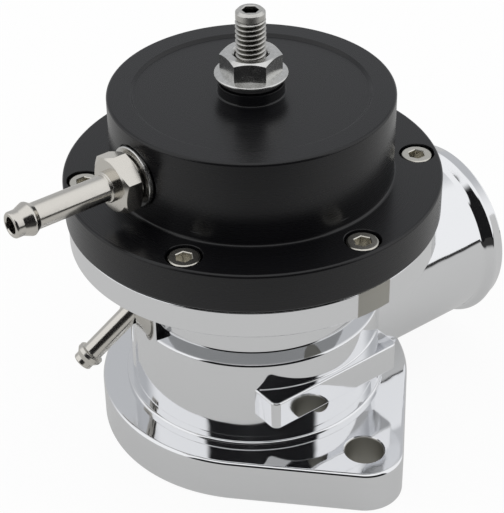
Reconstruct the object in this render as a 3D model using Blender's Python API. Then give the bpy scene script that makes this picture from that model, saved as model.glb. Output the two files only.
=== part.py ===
"""Blow off valve with a diaphragm, a spring and an adjusting screw.

The valve stands on its two-bolt flange. +Z is the valve's axis, +X is the way
the outlet points, and the two bolt ears lie along Y. Lengths are in metres.
"""
import math

import bmesh
import bpy
from mathutils import Matrix, Vector

MM = 0.001
GAP = 0.3 * MM            # clearance between pieces that touch or slide
THROUGH = 2.0 * MM        # how far a cutter runs past the face it opens
BODY_SIDES = 40           # sides of the body and the cap
PLATE_SIDES = 28          # sides of the plates, the valve head and the nut flange
STEM_SIDES = 16           # sides of the nipples, stem and adjusting screw
SCREW_SIDES = 12          # sides of the cap screws
FILLET_STEPS = 2          # faces round one filleted corner
EDGE_BREAK = 0.7 * MM     # smaller roundings than this are one flat chamfer
EAR_STEPS = 8             # faces round one bolt ear
DISC_STEPS = 14           # faces round one side of the base flange
ARCH_STEPS = 6            # faces across the diaphragm's arch

# Inlet and seat
INLET_R = 13.5 * MM
BASE_T = 9.6 * MM
SHELF_RISE = 1.4 * MM     # chamber floor above the base flange
LIP_W = 1.5 * MM
LIP_H = 1.2 * MM
LIFT = 7.0 * MM           # full travel of the valve

# Valve head
SEAL_OVERLAP = 0.9 * MM   # seal wider than the lip, on each side
SEAL_T = 1.8 * MM
HEAD_RIM_W = 0.6 * MM     # metal outside the seal
HEAD_T = 4.5 * MM
HUB_R = 6.0 * MM
HUB_H = 3.0 * MM
FLOW_GAP = 2.5 * MM       # head rim to chamber wall

# Body walls
NECK_WALL = 3.8 * MM
RELIEF_D = 4.0 * MM       # depth of the relief round the front of the neck
RELIEF_H = 15.8 * MM
RELIEF_END = 0.75 * MM    # where the relief stops, in front of the outlet plane
BODY_FILLET = 1.2 * MM
CHAMBER_RISE = 10.5 * MM  # chamber ceiling above the outlet axis
PARTITION_MIN = 2.5 * MM
LOWER_CHAMBER_H = 8.5 * MM
LOWER_CHAMBER_WALL = 3.5 * MM
SHOULDER_DROP = 3.2 * MM  # shallow shoulder under the rolling part of the diaphragm

# Outlet
OUTLET_R = 19.0 * MM
OUTLET_WALL = 2.0 * MM
OUTLET_RISE = 12.5 * MM   # outlet axis above the chamber floor
OUTLET_REACH = 55.4 * MM
BEAD_H = 1.6 * MM
BEAD_W = 3.4 * MM
BEAD_BACK = 0.85 * MM     # sloping back of the bead, along the tube
BEAD_CREST = 1.2 * MM     # length of its crest
OUTLET_LIP = 0.4 * MM

# Base flange
BASE_MARGIN = 6.5 * MM    # base flange beyond the body wall
BOLT_OFFSET = 9.7 * MM    # bolt centre beyond the body wall
BOLT_HOLE_R = 4.0 * MM
HOLE_CHAMFER = 0.3 * MM
EAR_RIM = 4.1 * MM        # metal round the bolt hole
BASE_BEVEL = 0.7 * MM

# Cast pad over the front ear
PAD_HALF_W = 16.4 * MM
PAD_H = 6.5 * MM
PAD_Z = 17.5 * MM
PAD_PROUD = 1.0 * MM
PAD_ROUND = 0.8 * MM

# Diaphragm
CONVOLUTION_W = 4.2 * MM
RUBBER_T = 1.0 * MM
RIM_W = 4.5 * MM
RIM_T = 1.3 * MM
ARCH_H = 3.0 * MM
PLATE_MARGIN = 1.0 * MM   # free rubber between the plates' edge and the arch

# Plates on the diaphragm
LOWER_PLATE_T = 1.3 * MM
UPPER_PLATE_T = 1.4 * MM
SPRING_HUB_H = 1.6 * MM

# Cap
CAP_WALL = 5.0 * MM
CAP_H = 26.4 * MM
ROOF_T = 4.0 * MM
CAP_FLANGE_T = 8.5 * MM
BODY_FLANGE_T = 5.5 * MM
CAP_FLANGE_MARGIN = 4.45 * MM
FLANGE_STEP = 0.5 * MM    # the cap flange stands proud of the body flange
CAP_ROUND = 0.6 * MM
TOP_BAND_W = 4.7 * MM     # flat band round the sunk middle of the cap's top
TOP_SINK = 0.4 * MM
BOSS_R = 6.6 * MM
BOSS_H = 1.8 * MM

# Cap screws
SCREW_COUNT = 6
SCREW_LAND = 5.9 * MM     # diaphragm rim to screw centre
SCREW_R = 1.9 * MM
SCREW_L = 8.0 * MM
HEAD_R = 3.2 * MM
HEAD_H = 4.0 * MM
POCKET_CLEARANCE = 0.4 * MM
HEAD_SUNK = 0.25 * MM
HEX_KEY = 3.0 * MM        # width across the flats of every key socket
HEX_DEPTH = 2.2 * MM

# Adjusting screw, lock nut and washer
ADJUSTER_R = 3.0 * MM
ADJUSTER_PROUD = 17.1 * MM
ADJUSTER_TIP = 1.9 * MM
ADJUSTER_TIP_H = 1.0 * MM
WASHER_T = 0.9 * MM
WASHER_R = 6.3 * MM
NUT_ACROSS_FLATS = 10.7 * MM
NUT_TURN = math.radians(20.0)
NUT_FLANGE_R = 7.3 * MM
NUT_FLANGE_EDGE = 0.5 * MM
NUT_FLANGE_SLOPE = 0.4 * MM
NUT_H = 4.8 * MM
NUT_CHAMFER = 0.5 * MM
CROWN_SLOPE = math.tan(math.radians(30.0))

# Spring and its upper plate
WIRE_R = 1.0 * MM
SPRING_R = 11.6 * MM      # to the middle of the wire
SPRING_TURNS = 4.0
END_TURNS = 0.75          # flat turns at each end
SPRING_L = 19.0 * MM
WIRE_SIDES = 6
TURN_STEPS = 16
ADJUSTER_PLATE_R = 14.5 * MM
ADJUSTER_PLATE_T = 1.8 * MM
ADJUSTER_HUB_H = 2.0 * MM
DIMPLE_D = 0.9 * MM

# Stem, bush, seal and nuts
STEM_R = 3.0 * MM
STEM_TOP_R = 2.2 * MM
COLLAR_R = 4.2 * MM
COLLAR_H = 1.5 * MM
STOP_GAP = 1.3 * MM       # collar to guide boss with the valve fully open
GUIDE_BOSS_R = 8.0 * MM
BUSH_WALL = 1.7 * MM
STEM_SEAL_W = 2.4 * MM
STEM_SEAL_T = 2.6 * MM
STEM_NUT_FLATS = 8.0 * MM
STEM_NUT_H = 3.4 * MM
STEM_END = 0.8 * MM       # stem beyond its nuts
SHOULDER_RISE = 2.4 * MM  # stem shoulder above the lower chamber's floor

# Upper nipple, on the cap, facing -X
NIPPLE_DROP = 9.05 * MM   # axis below the cap's top
NIPPLE_REACH = 55.7 * MM
NIPPLE_R = 2.6 * MM
NIPPLE_BORE_R = 1.65 * MM
NIPPLE_HEX = 11.0 * MM
NIPPLE_HEX_L = 4.0 * MM
NIPPLE_HEX_TURN = math.radians(-8.0)
NIPPLE_FOOT_R = 4.6 * MM  # turned foot between the hexagon and the washer
NIPPLE_FOOT_L = 0.6 * MM
NIPPLE_THREAD_R = 3.4 * MM
NIPPLE_COLLAR_R = 3.1 * MM
NIPPLE_COLLAR_L = 1.2 * MM
NIPPLE_WASHER_R = 6.1 * MM
NIPPLE_WASHER_T = 1.0 * MM
SPOT_DEPTH = 0.75 * MM
NIPPLE_BEAD = 0.8 * MM    # bead above the tube
NIPPLE_BEAD_L = 3.2 * MM
NIPPLE_BEAD_BACK = 1.2 * MM  # sloping back of the bead, along the tube
NIPPLE_TIP_L = 1.8 * MM

# Lower nipple, pressed into the body under the flange
LOWER_ANGLE = math.radians(160.0)
LOWER_TILT = math.radians(43.0)
LOWER_REACH = 15.7 * MM   # outside the body, along the nipple
LOWER_HOLD = 6.0 * MM     # inside the body wall
LOWER_R = 2.15 * MM
LOWER_BORE_R = 1.3 * MM
LOWER_BEAD = 0.75 * MM
LOWER_BEAD_L = 2.0 * MM
LOWER_TIP_L = 1.3 * MM
LOWER_DROP = 15.8 * MM    # where it leaves the wall, below the flange

# Radii that follow, from the inlet outwards
SEAL_IN_R = INLET_R - SEAL_OVERLAP
SEAL_OUT_R = INLET_R + LIP_W + SEAL_OVERLAP
HEAD_OUT_R = SEAL_OUT_R + HEAD_RIM_W
CHAMBER_R = HEAD_OUT_R + FLOW_GAP
NECK_R = CHAMBER_R + NECK_WALL
BODY_R = NECK_R + RELIEF_D
BASE_R = BODY_R + BASE_MARGIN
BOLT_Y = BODY_R + BOLT_OFFSET
EAR_R = BOLT_HOLE_R + EAR_RIM
LOWER_CHAMBER_R = NECK_R - LOWER_CHAMBER_WALL
CAP_BORE_R = LOWER_CHAMBER_R + CONVOLUTION_W
CAP_R = CAP_BORE_R + CAP_WALL
RIM_R = CAP_BORE_R + RIM_W
SCREW_CIRCLE_R = RIM_R + SCREW_LAND
CAP_FLANGE_R = SCREW_CIRCLE_R + CAP_FLANGE_MARGIN
BODY_FLANGE_R = CAP_FLANGE_R - FLANGE_STEP
OUTLET_BORE_R = OUTLET_R - OUTLET_WALL

# Heights that follow, from the base upwards
SHELF_Z = BASE_T + SHELF_RISE
SEAT_Z = SHELF_Z + LIP_H
HEAD_Z = SEAT_Z + GAP
HUB_Z = HEAD_Z + HEAD_T + HUB_H
COLLAR_Z = HUB_Z + GAP
BOSS_Z = COLLAR_Z + COLLAR_H + LIFT + STOP_GAP
OUTLET_Z = SHELF_Z + OUTLET_RISE
CHAMBER_Z = max(OUTLET_Z + CHAMBER_RISE, BOSS_Z + GAP)
FLOOR_Z = max(OUTLET_Z + OUTLET_BORE_R, CHAMBER_Z) + PARTITION_MIN
BODY_Z = FLOOR_Z + LOWER_CHAMBER_H
UNDERSIDE_Z = BODY_Z - BODY_FLANGE_T
RIM_SEAT_Z = BODY_Z - RIM_T - GAP
CAP_Z = BODY_Z + GAP
CAP_FLANGE_Z = CAP_Z + CAP_FLANGE_T
CAP_TOP_Z = CAP_Z + CAP_H
SINK_Z = CAP_TOP_Z - TOP_SINK
ROOF_Z = CAP_TOP_Z - ROOF_T

# Screw seats in the cap's flange
HEAD_TOP_Z = CAP_FLANGE_Z - HEAD_SUNK
SCREW_SEAT_Z = HEAD_TOP_Z - HEAD_H - GAP
SCREW_END_Z = SCREW_SEAT_Z + GAP - SCREW_L

# Moving stack, from the stem's shoulder upwards
SHOULDER_Z = FLOOR_Z + SHOULDER_RISE
LOWER_PLATE_Z = SHOULDER_Z + GAP
RUBBER_Z = LOWER_PLATE_Z + LOWER_PLATE_T + GAP
UPPER_PLATE_Z = RUBBER_Z + RUBBER_T + GAP
SPRING_Z = UPPER_PLATE_Z + UPPER_PLATE_T + GAP
STEM_NUT_Z = SPRING_Z + SPRING_HUB_H
STEM_TOP_Z = STEM_NUT_Z + STEM_NUT_H + STEM_END
ADJUSTER_PLATE_Z = SPRING_Z + SPRING_L + GAP
ADJUSTER_TIP_Z = ADJUSTER_PLATE_Z + ADJUSTER_PLATE_T - DIMPLE_D + GAP
PLATE_R = CAP_BORE_R - CONVOLUTION_W - RUBBER_T - 2.0 * PLATE_MARGIN
SPRING_HUB_R = SPRING_R - WIRE_R - 2.0 * GAP
STEM_BORE_R = STEM_R + GAP
STEM_TOP_BORE_R = STEM_TOP_R + GAP

# Stack on top of the cap
BOSS_TOP_Z = SINK_Z + BOSS_H + TOP_SINK
WASHER_Z = BOSS_TOP_Z + GAP
NUT_Z = WASHER_Z + WASHER_T + GAP
ADJUSTER_TOP_Z = CAP_TOP_Z + ADJUSTER_PROUD
NIPPLE_Z = CAP_TOP_Z - NIPPLE_DROP


def surface(name, colour, metallic, roughness):
    """A plain Principled material."""
    material = bpy.data.materials.new(name)
    material.use_nodes = True
    shader = material.node_tree.nodes["Principled BSDF"]
    shader.inputs["Base Color"].default_value = (*colour, 1.0)
    shader.inputs["Metallic"].default_value = metallic
    shader.inputs["Roughness"].default_value = roughness
    material.diffuse_color = (*colour, 1.0)
    return material


def fillet(before, corner, after, radius):
    """Points of the arc that rounds one corner of a profile."""
    corner, before, after = Vector(corner), Vector(before), Vector(after)
    towards = (before - corner).normalized()
    away = (after - corner).normalized()
    half = towards.angle(away) / 2.0
    room = 0.45 * min((before - corner).length, (after - corner).length)
    setback = min(radius / math.tan(half), room)
    radius = setback * math.tan(half)
    centre = corner + (towards + away).normalized() * (radius / math.sin(half))
    start = corner + towards * setback - centre
    end = corner + away * setback - centre
    sweep = start.angle(end)
    points = []
    steps = FILLET_STEPS if radius > EDGE_BREAK else 1
    for step in range(steps + 1):
        share = step / steps
        spoke = math.sin((1.0 - share) * sweep) * start + math.sin(share * sweep) * end
        points.append(tuple(centre + spoke / math.sin(sweep)))
    return points


def soften(profile):
    """Round each corner (r, z, radius) of a profile; corners (r, z) stay sharp."""
    points = []
    for index, corner in enumerate(profile):
        if len(corner) == 2:
            points.append(corner)
            continue
        before = profile[index - 1][:2]
        after = profile[(index + 1) % len(profile)][:2]
        points.extend(fillet(before, corner[:2], after, corner[2]))
    return points


def finished(mesh_data):
    """Weld a bmesh and point its faces outwards."""
    bmesh.ops.remove_doubles(mesh_data, verts=mesh_data.verts, dist=1e-6)
    bmesh.ops.recalc_face_normals(mesh_data, faces=mesh_data.faces)
    return mesh_data


def turned(profile, sides=BODY_SIDES):
    """Spin a closed (r, z) profile once round Z."""
    work = bmesh.new()
    points = [work.verts.new((r, 0.0, z)) for r, z in soften(profile)]
    on_axis = abs(profile[0][0]) < 1e-9 and abs(profile[-1][0]) < 1e-9
    pairs = list(zip(points, points[1:]))
    if not on_axis:
        pairs.append((points[-1], points[0]))
    lines = [work.edges.new(pair) for pair in pairs]
    bmesh.ops.spin(
        work, geom=points + lines, cent=(0, 0, 0), axis=(0, 0, 1),
        angle=math.tau, steps=sides, use_merge=True,
    )
    return finished(work)


def prism(outline, bottom, top, bevel=0.0):
    """Raise an (x, y) outline, with its top edges bevelled."""
    work = bmesh.new()
    face = work.faces.new([work.verts.new((x, y, bottom)) for x, y in outline])
    raised = bmesh.ops.extrude_face_region(work, geom=[face])["geom"]
    corners = [item for item in raised if isinstance(item, bmesh.types.BMVert)]
    bmesh.ops.translate(work, verts=corners, vec=(0, 0, top - bottom))
    finished(work)
    if bevel:
        edges = [edge for edge in work.edges if all(v.co.z > top - 1e-6 for v in edge.verts)]
        bmesh.ops.bevel(work, geom=edges, offset=bevel, segments=2, profile=0.5, affect="EDGES")
    return work


def block(low, high, rounding=0.0):
    """A box between two corners, with its edges rounded."""
    work = bmesh.new()
    size = Vector(high) - Vector(low)
    middle = (Vector(high) + Vector(low)) / 2.0
    bmesh.ops.create_cube(work, size=1.0)
    bmesh.ops.scale(work, vec=size, verts=work.verts)
    bmesh.ops.translate(work, vec=middle, verts=work.verts)
    if rounding:
        bmesh.ops.bevel(
            work, geom=work.edges[:], offset=rounding, segments=2, profile=0.5, affect="EDGES"
        )
    return finished(work)


def hexagon(across_flats, start=0.0):
    """Corners of a hexagon, the first of them at an angle from +X."""
    reach = across_flats / math.sqrt(3.0)
    turns = [start + math.radians(60.0 * corner) for corner in range(6)]
    return [(reach * math.cos(turn), reach * math.sin(turn)) for turn in turns]


def moved(mesh_data, place):
    """Apply a matrix to a bmesh."""
    bmesh.ops.transform(mesh_data, matrix=place, verts=mesh_data.verts)
    return mesh_data


def lay_along(direction, start):
    """The matrix that lays +Z along a direction, from a start point."""
    turn = Vector(direction).to_track_quat("Z", "X").to_matrix().to_4x4()
    return Matrix.Translation(start) @ turn


def joined(*pieces):
    """One bmesh from several that don't touch."""
    whole = bmesh.new()
    for piece in pieces:
        scratch = bpy.data.meshes.new("scratch")
        piece.to_mesh(scratch)
        whole.from_mesh(scratch)
        bpy.data.meshes.remove(scratch)
        piece.free()
    return whole


def add(name, mesh_data, material=None, origin=(0.0, 0.0, 0.0)):
    """Make an object whose origin is at a point of the model."""
    mesh = bpy.data.meshes.new(name)
    bmesh.ops.translate(mesh_data, vec=-Vector(origin), verts=mesh_data.verts)
    mesh_data.to_mesh(mesh)
    mesh_data.free()
    mesh.shade_smooth()
    mesh.set_sharp_from_angle(angle=math.radians(30.0))
    if material is not None:
        mesh.materials.append(material)
    piece = bpy.data.objects.new(name, mesh)
    piece.location = origin
    bpy.context.scene.collection.objects.link(piece)
    return piece


def combine(piece, operation, tool_name, mesh_data):
    """Join or cut a piece with a hidden tool."""
    tool = add(tool_name, mesh_data)
    tool.hide_render = True
    tool.display_type = "WIRE"
    change = piece.modifiers.new(tool_name, "BOOLEAN")
    change.operation = operation
    change.solver = "EXACT"
    change.object = tool
    return tool


def ear_outline():
    """A disc and two ears on Y, joined by their common tangents."""
    lean = math.acos((BASE_R - EAR_R) / BOLT_Y)
    outline = []
    for side in (1.0, -1.0):
        middle = side * math.pi / 2.0
        for step in range(EAR_STEPS + 1):
            turn = middle - lean + 2.0 * lean * step / EAR_STEPS
            outline.append((EAR_R * math.cos(turn), side * BOLT_Y + EAR_R * math.sin(turn)))
        sweep = math.pi - 2.0 * lean
        for step in range(DISC_STEPS + 1):
            turn = middle + lean + sweep * step / DISC_STEPS
            outline.append((BASE_R * math.cos(turn), BASE_R * math.sin(turn)))
    return outline


def screw_places():
    """Centres of the cap screws, one of them over each bolt ear."""
    turns = [math.radians(90.0 + 360.0 * index / SCREW_COUNT) for index in range(SCREW_COUNT)]
    return [(SCREW_CIRCLE_R * math.cos(turn), SCREW_CIRCLE_R * math.sin(turn)) for turn in turns]


def body_cavity():
    """Inlet, seat, valve chamber, guide boss, bush bore and lower chamber in one profile."""
    lip_r = INLET_R + LIP_W
    bush_r = STEM_BORE_R + BUSH_WALL + GAP
    seal_r = STEM_BORE_R + STEM_SEAL_W + GAP
    seal_z = FLOOR_Z - STEM_SEAL_T - GAP
    shoulder_z = BODY_Z - SHOULDER_DROP
    return turned([
        (0.0, -THROUGH), (INLET_R, -THROUGH), (INLET_R, SEAT_Z), (lip_r, SEAT_Z),
        (lip_r, SHELF_Z), (CHAMBER_R, SHELF_Z, BODY_FILLET), (CHAMBER_R, CHAMBER_Z, BODY_FILLET),
        (GUIDE_BOSS_R, CHAMBER_Z), (GUIDE_BOSS_R, BOSS_Z), (bush_r, BOSS_Z), (bush_r, seal_z),
        (seal_r, seal_z), (seal_r, FLOOR_Z), (LOWER_CHAMBER_R, FLOOR_Z, BODY_FILLET),
        (LOWER_CHAMBER_R, shoulder_z), (CAP_BORE_R, shoulder_z), (CAP_BORE_R, RIM_SEAT_Z),
        (RIM_R + GAP, RIM_SEAT_Z), (RIM_R + GAP, BODY_Z + THROUGH), (0.0, BODY_Z + THROUGH),
    ])


def relief():
    """Half ring that thins the neck on the side of the front ear."""
    outer = BODY_R + THROUGH
    steps = BODY_SIDES // 2
    start = math.asin(RELIEF_END / outer)
    inner_start = math.asin(RELIEF_END / NECK_R)
    outline = []
    for step in range(steps + 1):
        turn = math.pi + start + (math.pi - 2.0 * start) * step / steps
        outline.append((outer * math.cos(turn), outer * math.sin(turn)))
    for step in range(steps, -1, -1):
        turn = math.pi + inner_start + (math.pi - 2.0 * inner_start) * step / steps
        outline.append((NECK_R * math.cos(turn), NECK_R * math.sin(turn)))
    return prism(outline, UNDERSIDE_Z - RELIEF_H, UNDERSIDE_Z)


def lower_nipple_place():
    """Where the lower nipple leaves the body wall, and which way it points."""
    flat = Vector((math.cos(LOWER_ANGLE), math.sin(LOWER_ANGLE), 0.0))
    direction = flat * math.cos(LOWER_TILT) - Vector((0, 0, math.sin(LOWER_TILT)))
    start = flat * BODY_R + Vector((0, 0, UNDERSIDE_Z - LOWER_DROP))
    return lay_along(direction, start)


def build_body(chrome):
    """The cast and polished body, with everything that is machined into it."""
    foot = BASE_T / 2.0       # the wall and the flange share this half of the flange
    body = add("body_casting", turned([
        (0.0, foot), (BODY_R, foot), (BODY_R, UNDERSIDE_Z, BODY_FILLET),
        (BODY_FLANGE_R, UNDERSIDE_Z, CAP_ROUND), (BODY_FLANGE_R, BODY_Z, CAP_ROUND / 2.0),
        (0.0, BODY_Z),
    ]), chrome)
    combine(body, "DIFFERENCE", "neck_relief", relief())
    combine(body, "UNION", "base_flange", prism(ear_outline(), 0.0, BASE_T, BASE_BEVEL))
    collar = turned([
        (0.0, BASE_T - foot), (BODY_R + BODY_FILLET, BASE_T - foot),
        (BODY_R + BODY_FILLET, BASE_T + GAP), (BODY_R + GAP, BASE_T + BODY_FILLET),
        (0.0, BASE_T + BODY_FILLET),
    ])
    combine(body, "UNION", "base_collar", collar)
    pad = block(
        (-PAD_HALF_W, -BODY_R - PAD_PROUD, PAD_Z),
        (PAD_HALF_W, -CHAMBER_R / 2.0, PAD_Z + PAD_H), PAD_ROUND,
    )
    combine(body, "UNION", "front_pad", pad)
    bead_z = OUTLET_REACH - BEAD_W
    crest_z = bead_z + BEAD_BACK
    tube = turned([
        (0.0, GUIDE_BOSS_R), (OUTLET_R, GUIDE_BOSS_R), (OUTLET_R, bead_z, BEAD_H / 2.0),
        (OUTLET_R + BEAD_H, crest_z, BEAD_H),
        (OUTLET_R + BEAD_H, crest_z + BEAD_CREST, BEAD_H),
        (OUTLET_R + OUTLET_LIP, OUTLET_REACH), (0.0, OUTLET_REACH),
    ])
    along_x = lay_along((1, 0, 0), (0.0, 0.0, OUTLET_Z))
    combine(body, "UNION", "outlet_tube", moved(tube, along_x))
    combine(body, "DIFFERENCE", "cavity", body_cavity())
    bore_start = HEAD_OUT_R + GAP
    throat_r = OUTLET_RISE - GAP
    throat_start = GUIDE_BOSS_R + GAP
    bore = turned([
        (0.0, throat_start), (throat_r, throat_start), (throat_r, bore_start),
        (OUTLET_BORE_R, bore_start),
        (OUTLET_BORE_R, OUTLET_REACH + THROUGH), (0.0, OUTLET_REACH + THROUGH),
    ])
    combine(body, "DIFFERENCE", "outlet_bore", moved(bore, along_x))
    holes = []
    chamfer_z = BASE_T - HOLE_CHAMFER
    for side in (1.0, -1.0):
        hole = turned([
            (0.0, -THROUGH), (BOLT_HOLE_R, -THROUGH), (BOLT_HOLE_R, chamfer_z),
            (BOLT_HOLE_R + THROUGH, chamfer_z + THROUGH), (0.0, chamfer_z + THROUGH),
        ], STEM_SIDES)
        holes.append(moved(hole, Matrix.Translation((0.0, side * BOLT_Y, 0.0))))
    tapped_r = SCREW_R + GAP
    tapped_z = min(SCREW_END_Z - 2.0 * GAP, BODY_Z - GAP)
    for x, y in screw_places():
        hole = turned([
            (0.0, tapped_z), (tapped_r, tapped_z), (tapped_r, BODY_Z + THROUGH),
            (0.0, BODY_Z + THROUGH),
        ], SCREW_SIDES)
        holes.append(moved(hole, Matrix.Translation((x, y, 0.0))))
    combine(body, "DIFFERENCE", "bolt_and_screw_holes", joined(*holes))
    drilling_end = -(FLOOR_Z - UNDERSIDE_Z + LOWER_DROP + THROUGH) / math.sin(LOWER_TILT)
    mouth = 4.0 * LOWER_R     # clear of the wall, which the slanting bore leaves at an angle
    port = turned([
        (0.0, drilling_end), (LOWER_BORE_R, drilling_end), (LOWER_BORE_R, -LOWER_HOLD - GAP),
        (LOWER_R + GAP, -LOWER_HOLD - GAP), (LOWER_R + GAP, mouth), (0.0, mouth),
    ], STEM_SIDES)
    combine(body, "DIFFERENCE", "pressure_port", moved(port, lower_nipple_place()))
    return body


def build_cap(black):
    """The turned cap: flange, wall, sunk top, boss and spring chamber."""
    bore_r = ADJUSTER_R + GAP
    cap = add("cap", turned([
        (CAP_BORE_R, CAP_Z), (CAP_FLANGE_R, CAP_Z, CAP_ROUND),
        (CAP_FLANGE_R, CAP_FLANGE_Z, CAP_ROUND), (CAP_R, CAP_FLANGE_Z, CAP_ROUND),
        (CAP_R, CAP_TOP_Z, CAP_ROUND), (CAP_R - TOP_BAND_W, CAP_TOP_Z),
        (CAP_R - TOP_BAND_W - TOP_SINK, SINK_Z), (BOSS_R + GAP, SINK_Z),
        (BOSS_R, SINK_Z + GAP), (BOSS_R, BOSS_TOP_Z, GAP), (bore_r, BOSS_TOP_Z),
        (bore_r, ROOF_Z), (CAP_BORE_R, ROOF_Z, 3.0 * CAP_ROUND),
    ]), black)
    pockets = []
    pocket_r = HEAD_R + POCKET_CLEARANCE
    shank_r = SCREW_R + GAP
    for x, y in screw_places():
        pocket = turned([
            (0.0, CAP_Z - THROUGH), (shank_r, CAP_Z - THROUGH), (shank_r, SCREW_SEAT_Z),
            (pocket_r, SCREW_SEAT_Z), (pocket_r, CAP_FLANGE_Z + THROUGH),
            (0.0, CAP_FLANGE_Z + THROUGH),
        ], SCREW_SIDES)
        pockets.append(moved(pocket, Matrix.Translation((x, y, 0.0))))
    combine(cap, "DIFFERENCE", "screw_pockets", joined(*pockets))
    spot = turned([
        (0.0, CAP_BORE_R - THROUGH), (NIPPLE_THREAD_R + GAP, CAP_BORE_R - THROUGH),
        (NIPPLE_THREAD_R + GAP, CAP_R - SPOT_DEPTH),
        (NIPPLE_WASHER_R + GAP, CAP_R - SPOT_DEPTH), (NIPPLE_WASHER_R + GAP, CAP_R + THROUGH),
        (0.0, CAP_R + THROUGH),
    ], STEM_SIDES)
    combine(cap, "DIFFERENCE", "nipple_port", moved(spot, lay_along((-1, 0, 0), (0, 0, NIPPLE_Z))))
    return cap


def build_cap_screws(steel):
    """Socket head screws, all of one pattern, in the cap's pockets."""
    for index, (x, y) in enumerate(screw_places()):
        pattern = turned([
            (0.0, SCREW_END_Z), (SCREW_R - GAP, SCREW_END_Z),
            (SCREW_R, SCREW_END_Z + GAP), (SCREW_R, SCREW_SEAT_Z + GAP),
            (HEAD_R, SCREW_SEAT_Z + GAP), (HEAD_R, HEAD_TOP_Z, GAP), (0.0, HEAD_TOP_Z),
        ], SCREW_SIDES)
        screw = add(f"cap_screw_{index + 1}", moved(pattern, Matrix.Translation((x, y, 0.0))), steel)
        key = prism(hexagon(HEX_KEY), HEAD_TOP_Z - HEX_DEPTH, HEAD_TOP_Z + THROUGH)
        key = moved(key, Matrix.Translation((x, y, 0.0)))
        combine(screw, "DIFFERENCE", f"key_socket_{index + 1}", key)


def build_adjuster(steel, zinc):
    """Adjusting screw and the spring plate that it presses on."""
    tip_z = ADJUSTER_TIP_Z
    screw = add("adjusting_screw", turned([
        (0.0, tip_z), (ADJUSTER_TIP, tip_z, GAP), (ADJUSTER_TIP, tip_z + ADJUSTER_TIP_H),
        (ADJUSTER_R, tip_z + 2.0 * ADJUSTER_TIP_H), (ADJUSTER_R, ADJUSTER_TOP_Z, 2.0 * GAP),
        (0.0, ADJUSTER_TOP_Z),
    ], STEM_SIDES), steel)
    key = prism(hexagon(HEX_KEY), ADJUSTER_TOP_Z - HEX_DEPTH, ADJUSTER_TOP_Z + THROUGH)
    combine(screw, "DIFFERENCE", "adjuster_key_socket", key)

    hub_z = ADJUSTER_PLATE_Z - ADJUSTER_HUB_H
    top_z = ADJUSTER_PLATE_Z + ADJUSTER_PLATE_T
    dimple_r = ADJUSTER_TIP + GAP
    add("spring_plate", turned([
        (0.0, hub_z), (SPRING_HUB_R, hub_z, GAP), (SPRING_HUB_R, ADJUSTER_PLATE_Z),
        (ADJUSTER_PLATE_R, ADJUSTER_PLATE_Z), (ADJUSTER_PLATE_R, top_z),
        (dimple_r, top_z), (dimple_r, top_z - DIMPLE_D), (0.0, top_z - DIMPLE_D),
    ], PLATE_SIDES), zinc)


def build_lock_nut(zinc, rubber):
    """Flange nut that locks the adjusting screw, and the washer under it."""
    bore_r = ADJUSTER_R + GAP
    add("seal_washer", turned([
        (bore_r, WASHER_Z), (WASHER_R, WASHER_Z), (WASHER_R, WASHER_Z + WASHER_T),
        (bore_r, WASHER_Z + WASHER_T),
    ], STEM_SIDES), rubber)

    top_z = NUT_Z + NUT_H
    edge_z = NUT_Z + NUT_FLANGE_EDGE
    flat_r = NUT_ACROSS_FLATS / 2.0
    nut = add("lock_nut", prism(hexagon(NUT_ACROSS_FLATS, NUT_TURN), edge_z, top_z), zinc)
    flange = turned([
        (0.0, NUT_Z), (NUT_FLANGE_R, NUT_Z), (NUT_FLANGE_R, edge_z, GAP),
        (flat_r, edge_z + NUT_FLANGE_SLOPE), (0.0, edge_z + NUT_FLANGE_SLOPE),
    ], PLATE_SIDES)
    combine(nut, "UNION", "nut_flange", flange)
    reach = NUT_FLANGE_R + THROUGH
    crown_r = flat_r - GAP
    crown = turned([
        (crown_r, top_z + GAP), (crown_r, top_z),
        (reach, top_z - (reach - crown_r) * CROWN_SLOPE), (reach, top_z + GAP),
    ], PLATE_SIDES)
    combine(nut, "DIFFERENCE", "nut_chamfer", crown)
    bore = turned([
        (0.0, NUT_Z - THROUGH), (bore_r, NUT_Z - THROUGH), (bore_r, top_z - NUT_CHAMFER),
        (bore_r + NUT_CHAMFER + THROUGH, top_z + THROUGH), (0.0, top_z + THROUGH),
    ], STEM_SIDES)
    combine(nut, "DIFFERENCE", "nut_bore", bore)


def stem_nut(name, bottom, hole_r, material):
    """A plain hexagon nut."""
    top = bottom + STEM_NUT_H
    nut = add(name, prism(hexagon(STEM_NUT_FLATS), bottom, top, GAP), material)
    hole = turned([
        (0.0, bottom - THROUGH), (hole_r, bottom - THROUGH), (hole_r, top + THROUGH),
        (0.0, top + THROUGH),
    ], STEM_SIDES)
    combine(nut, "DIFFERENCE", f"{name}_bore", hole)


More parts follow.
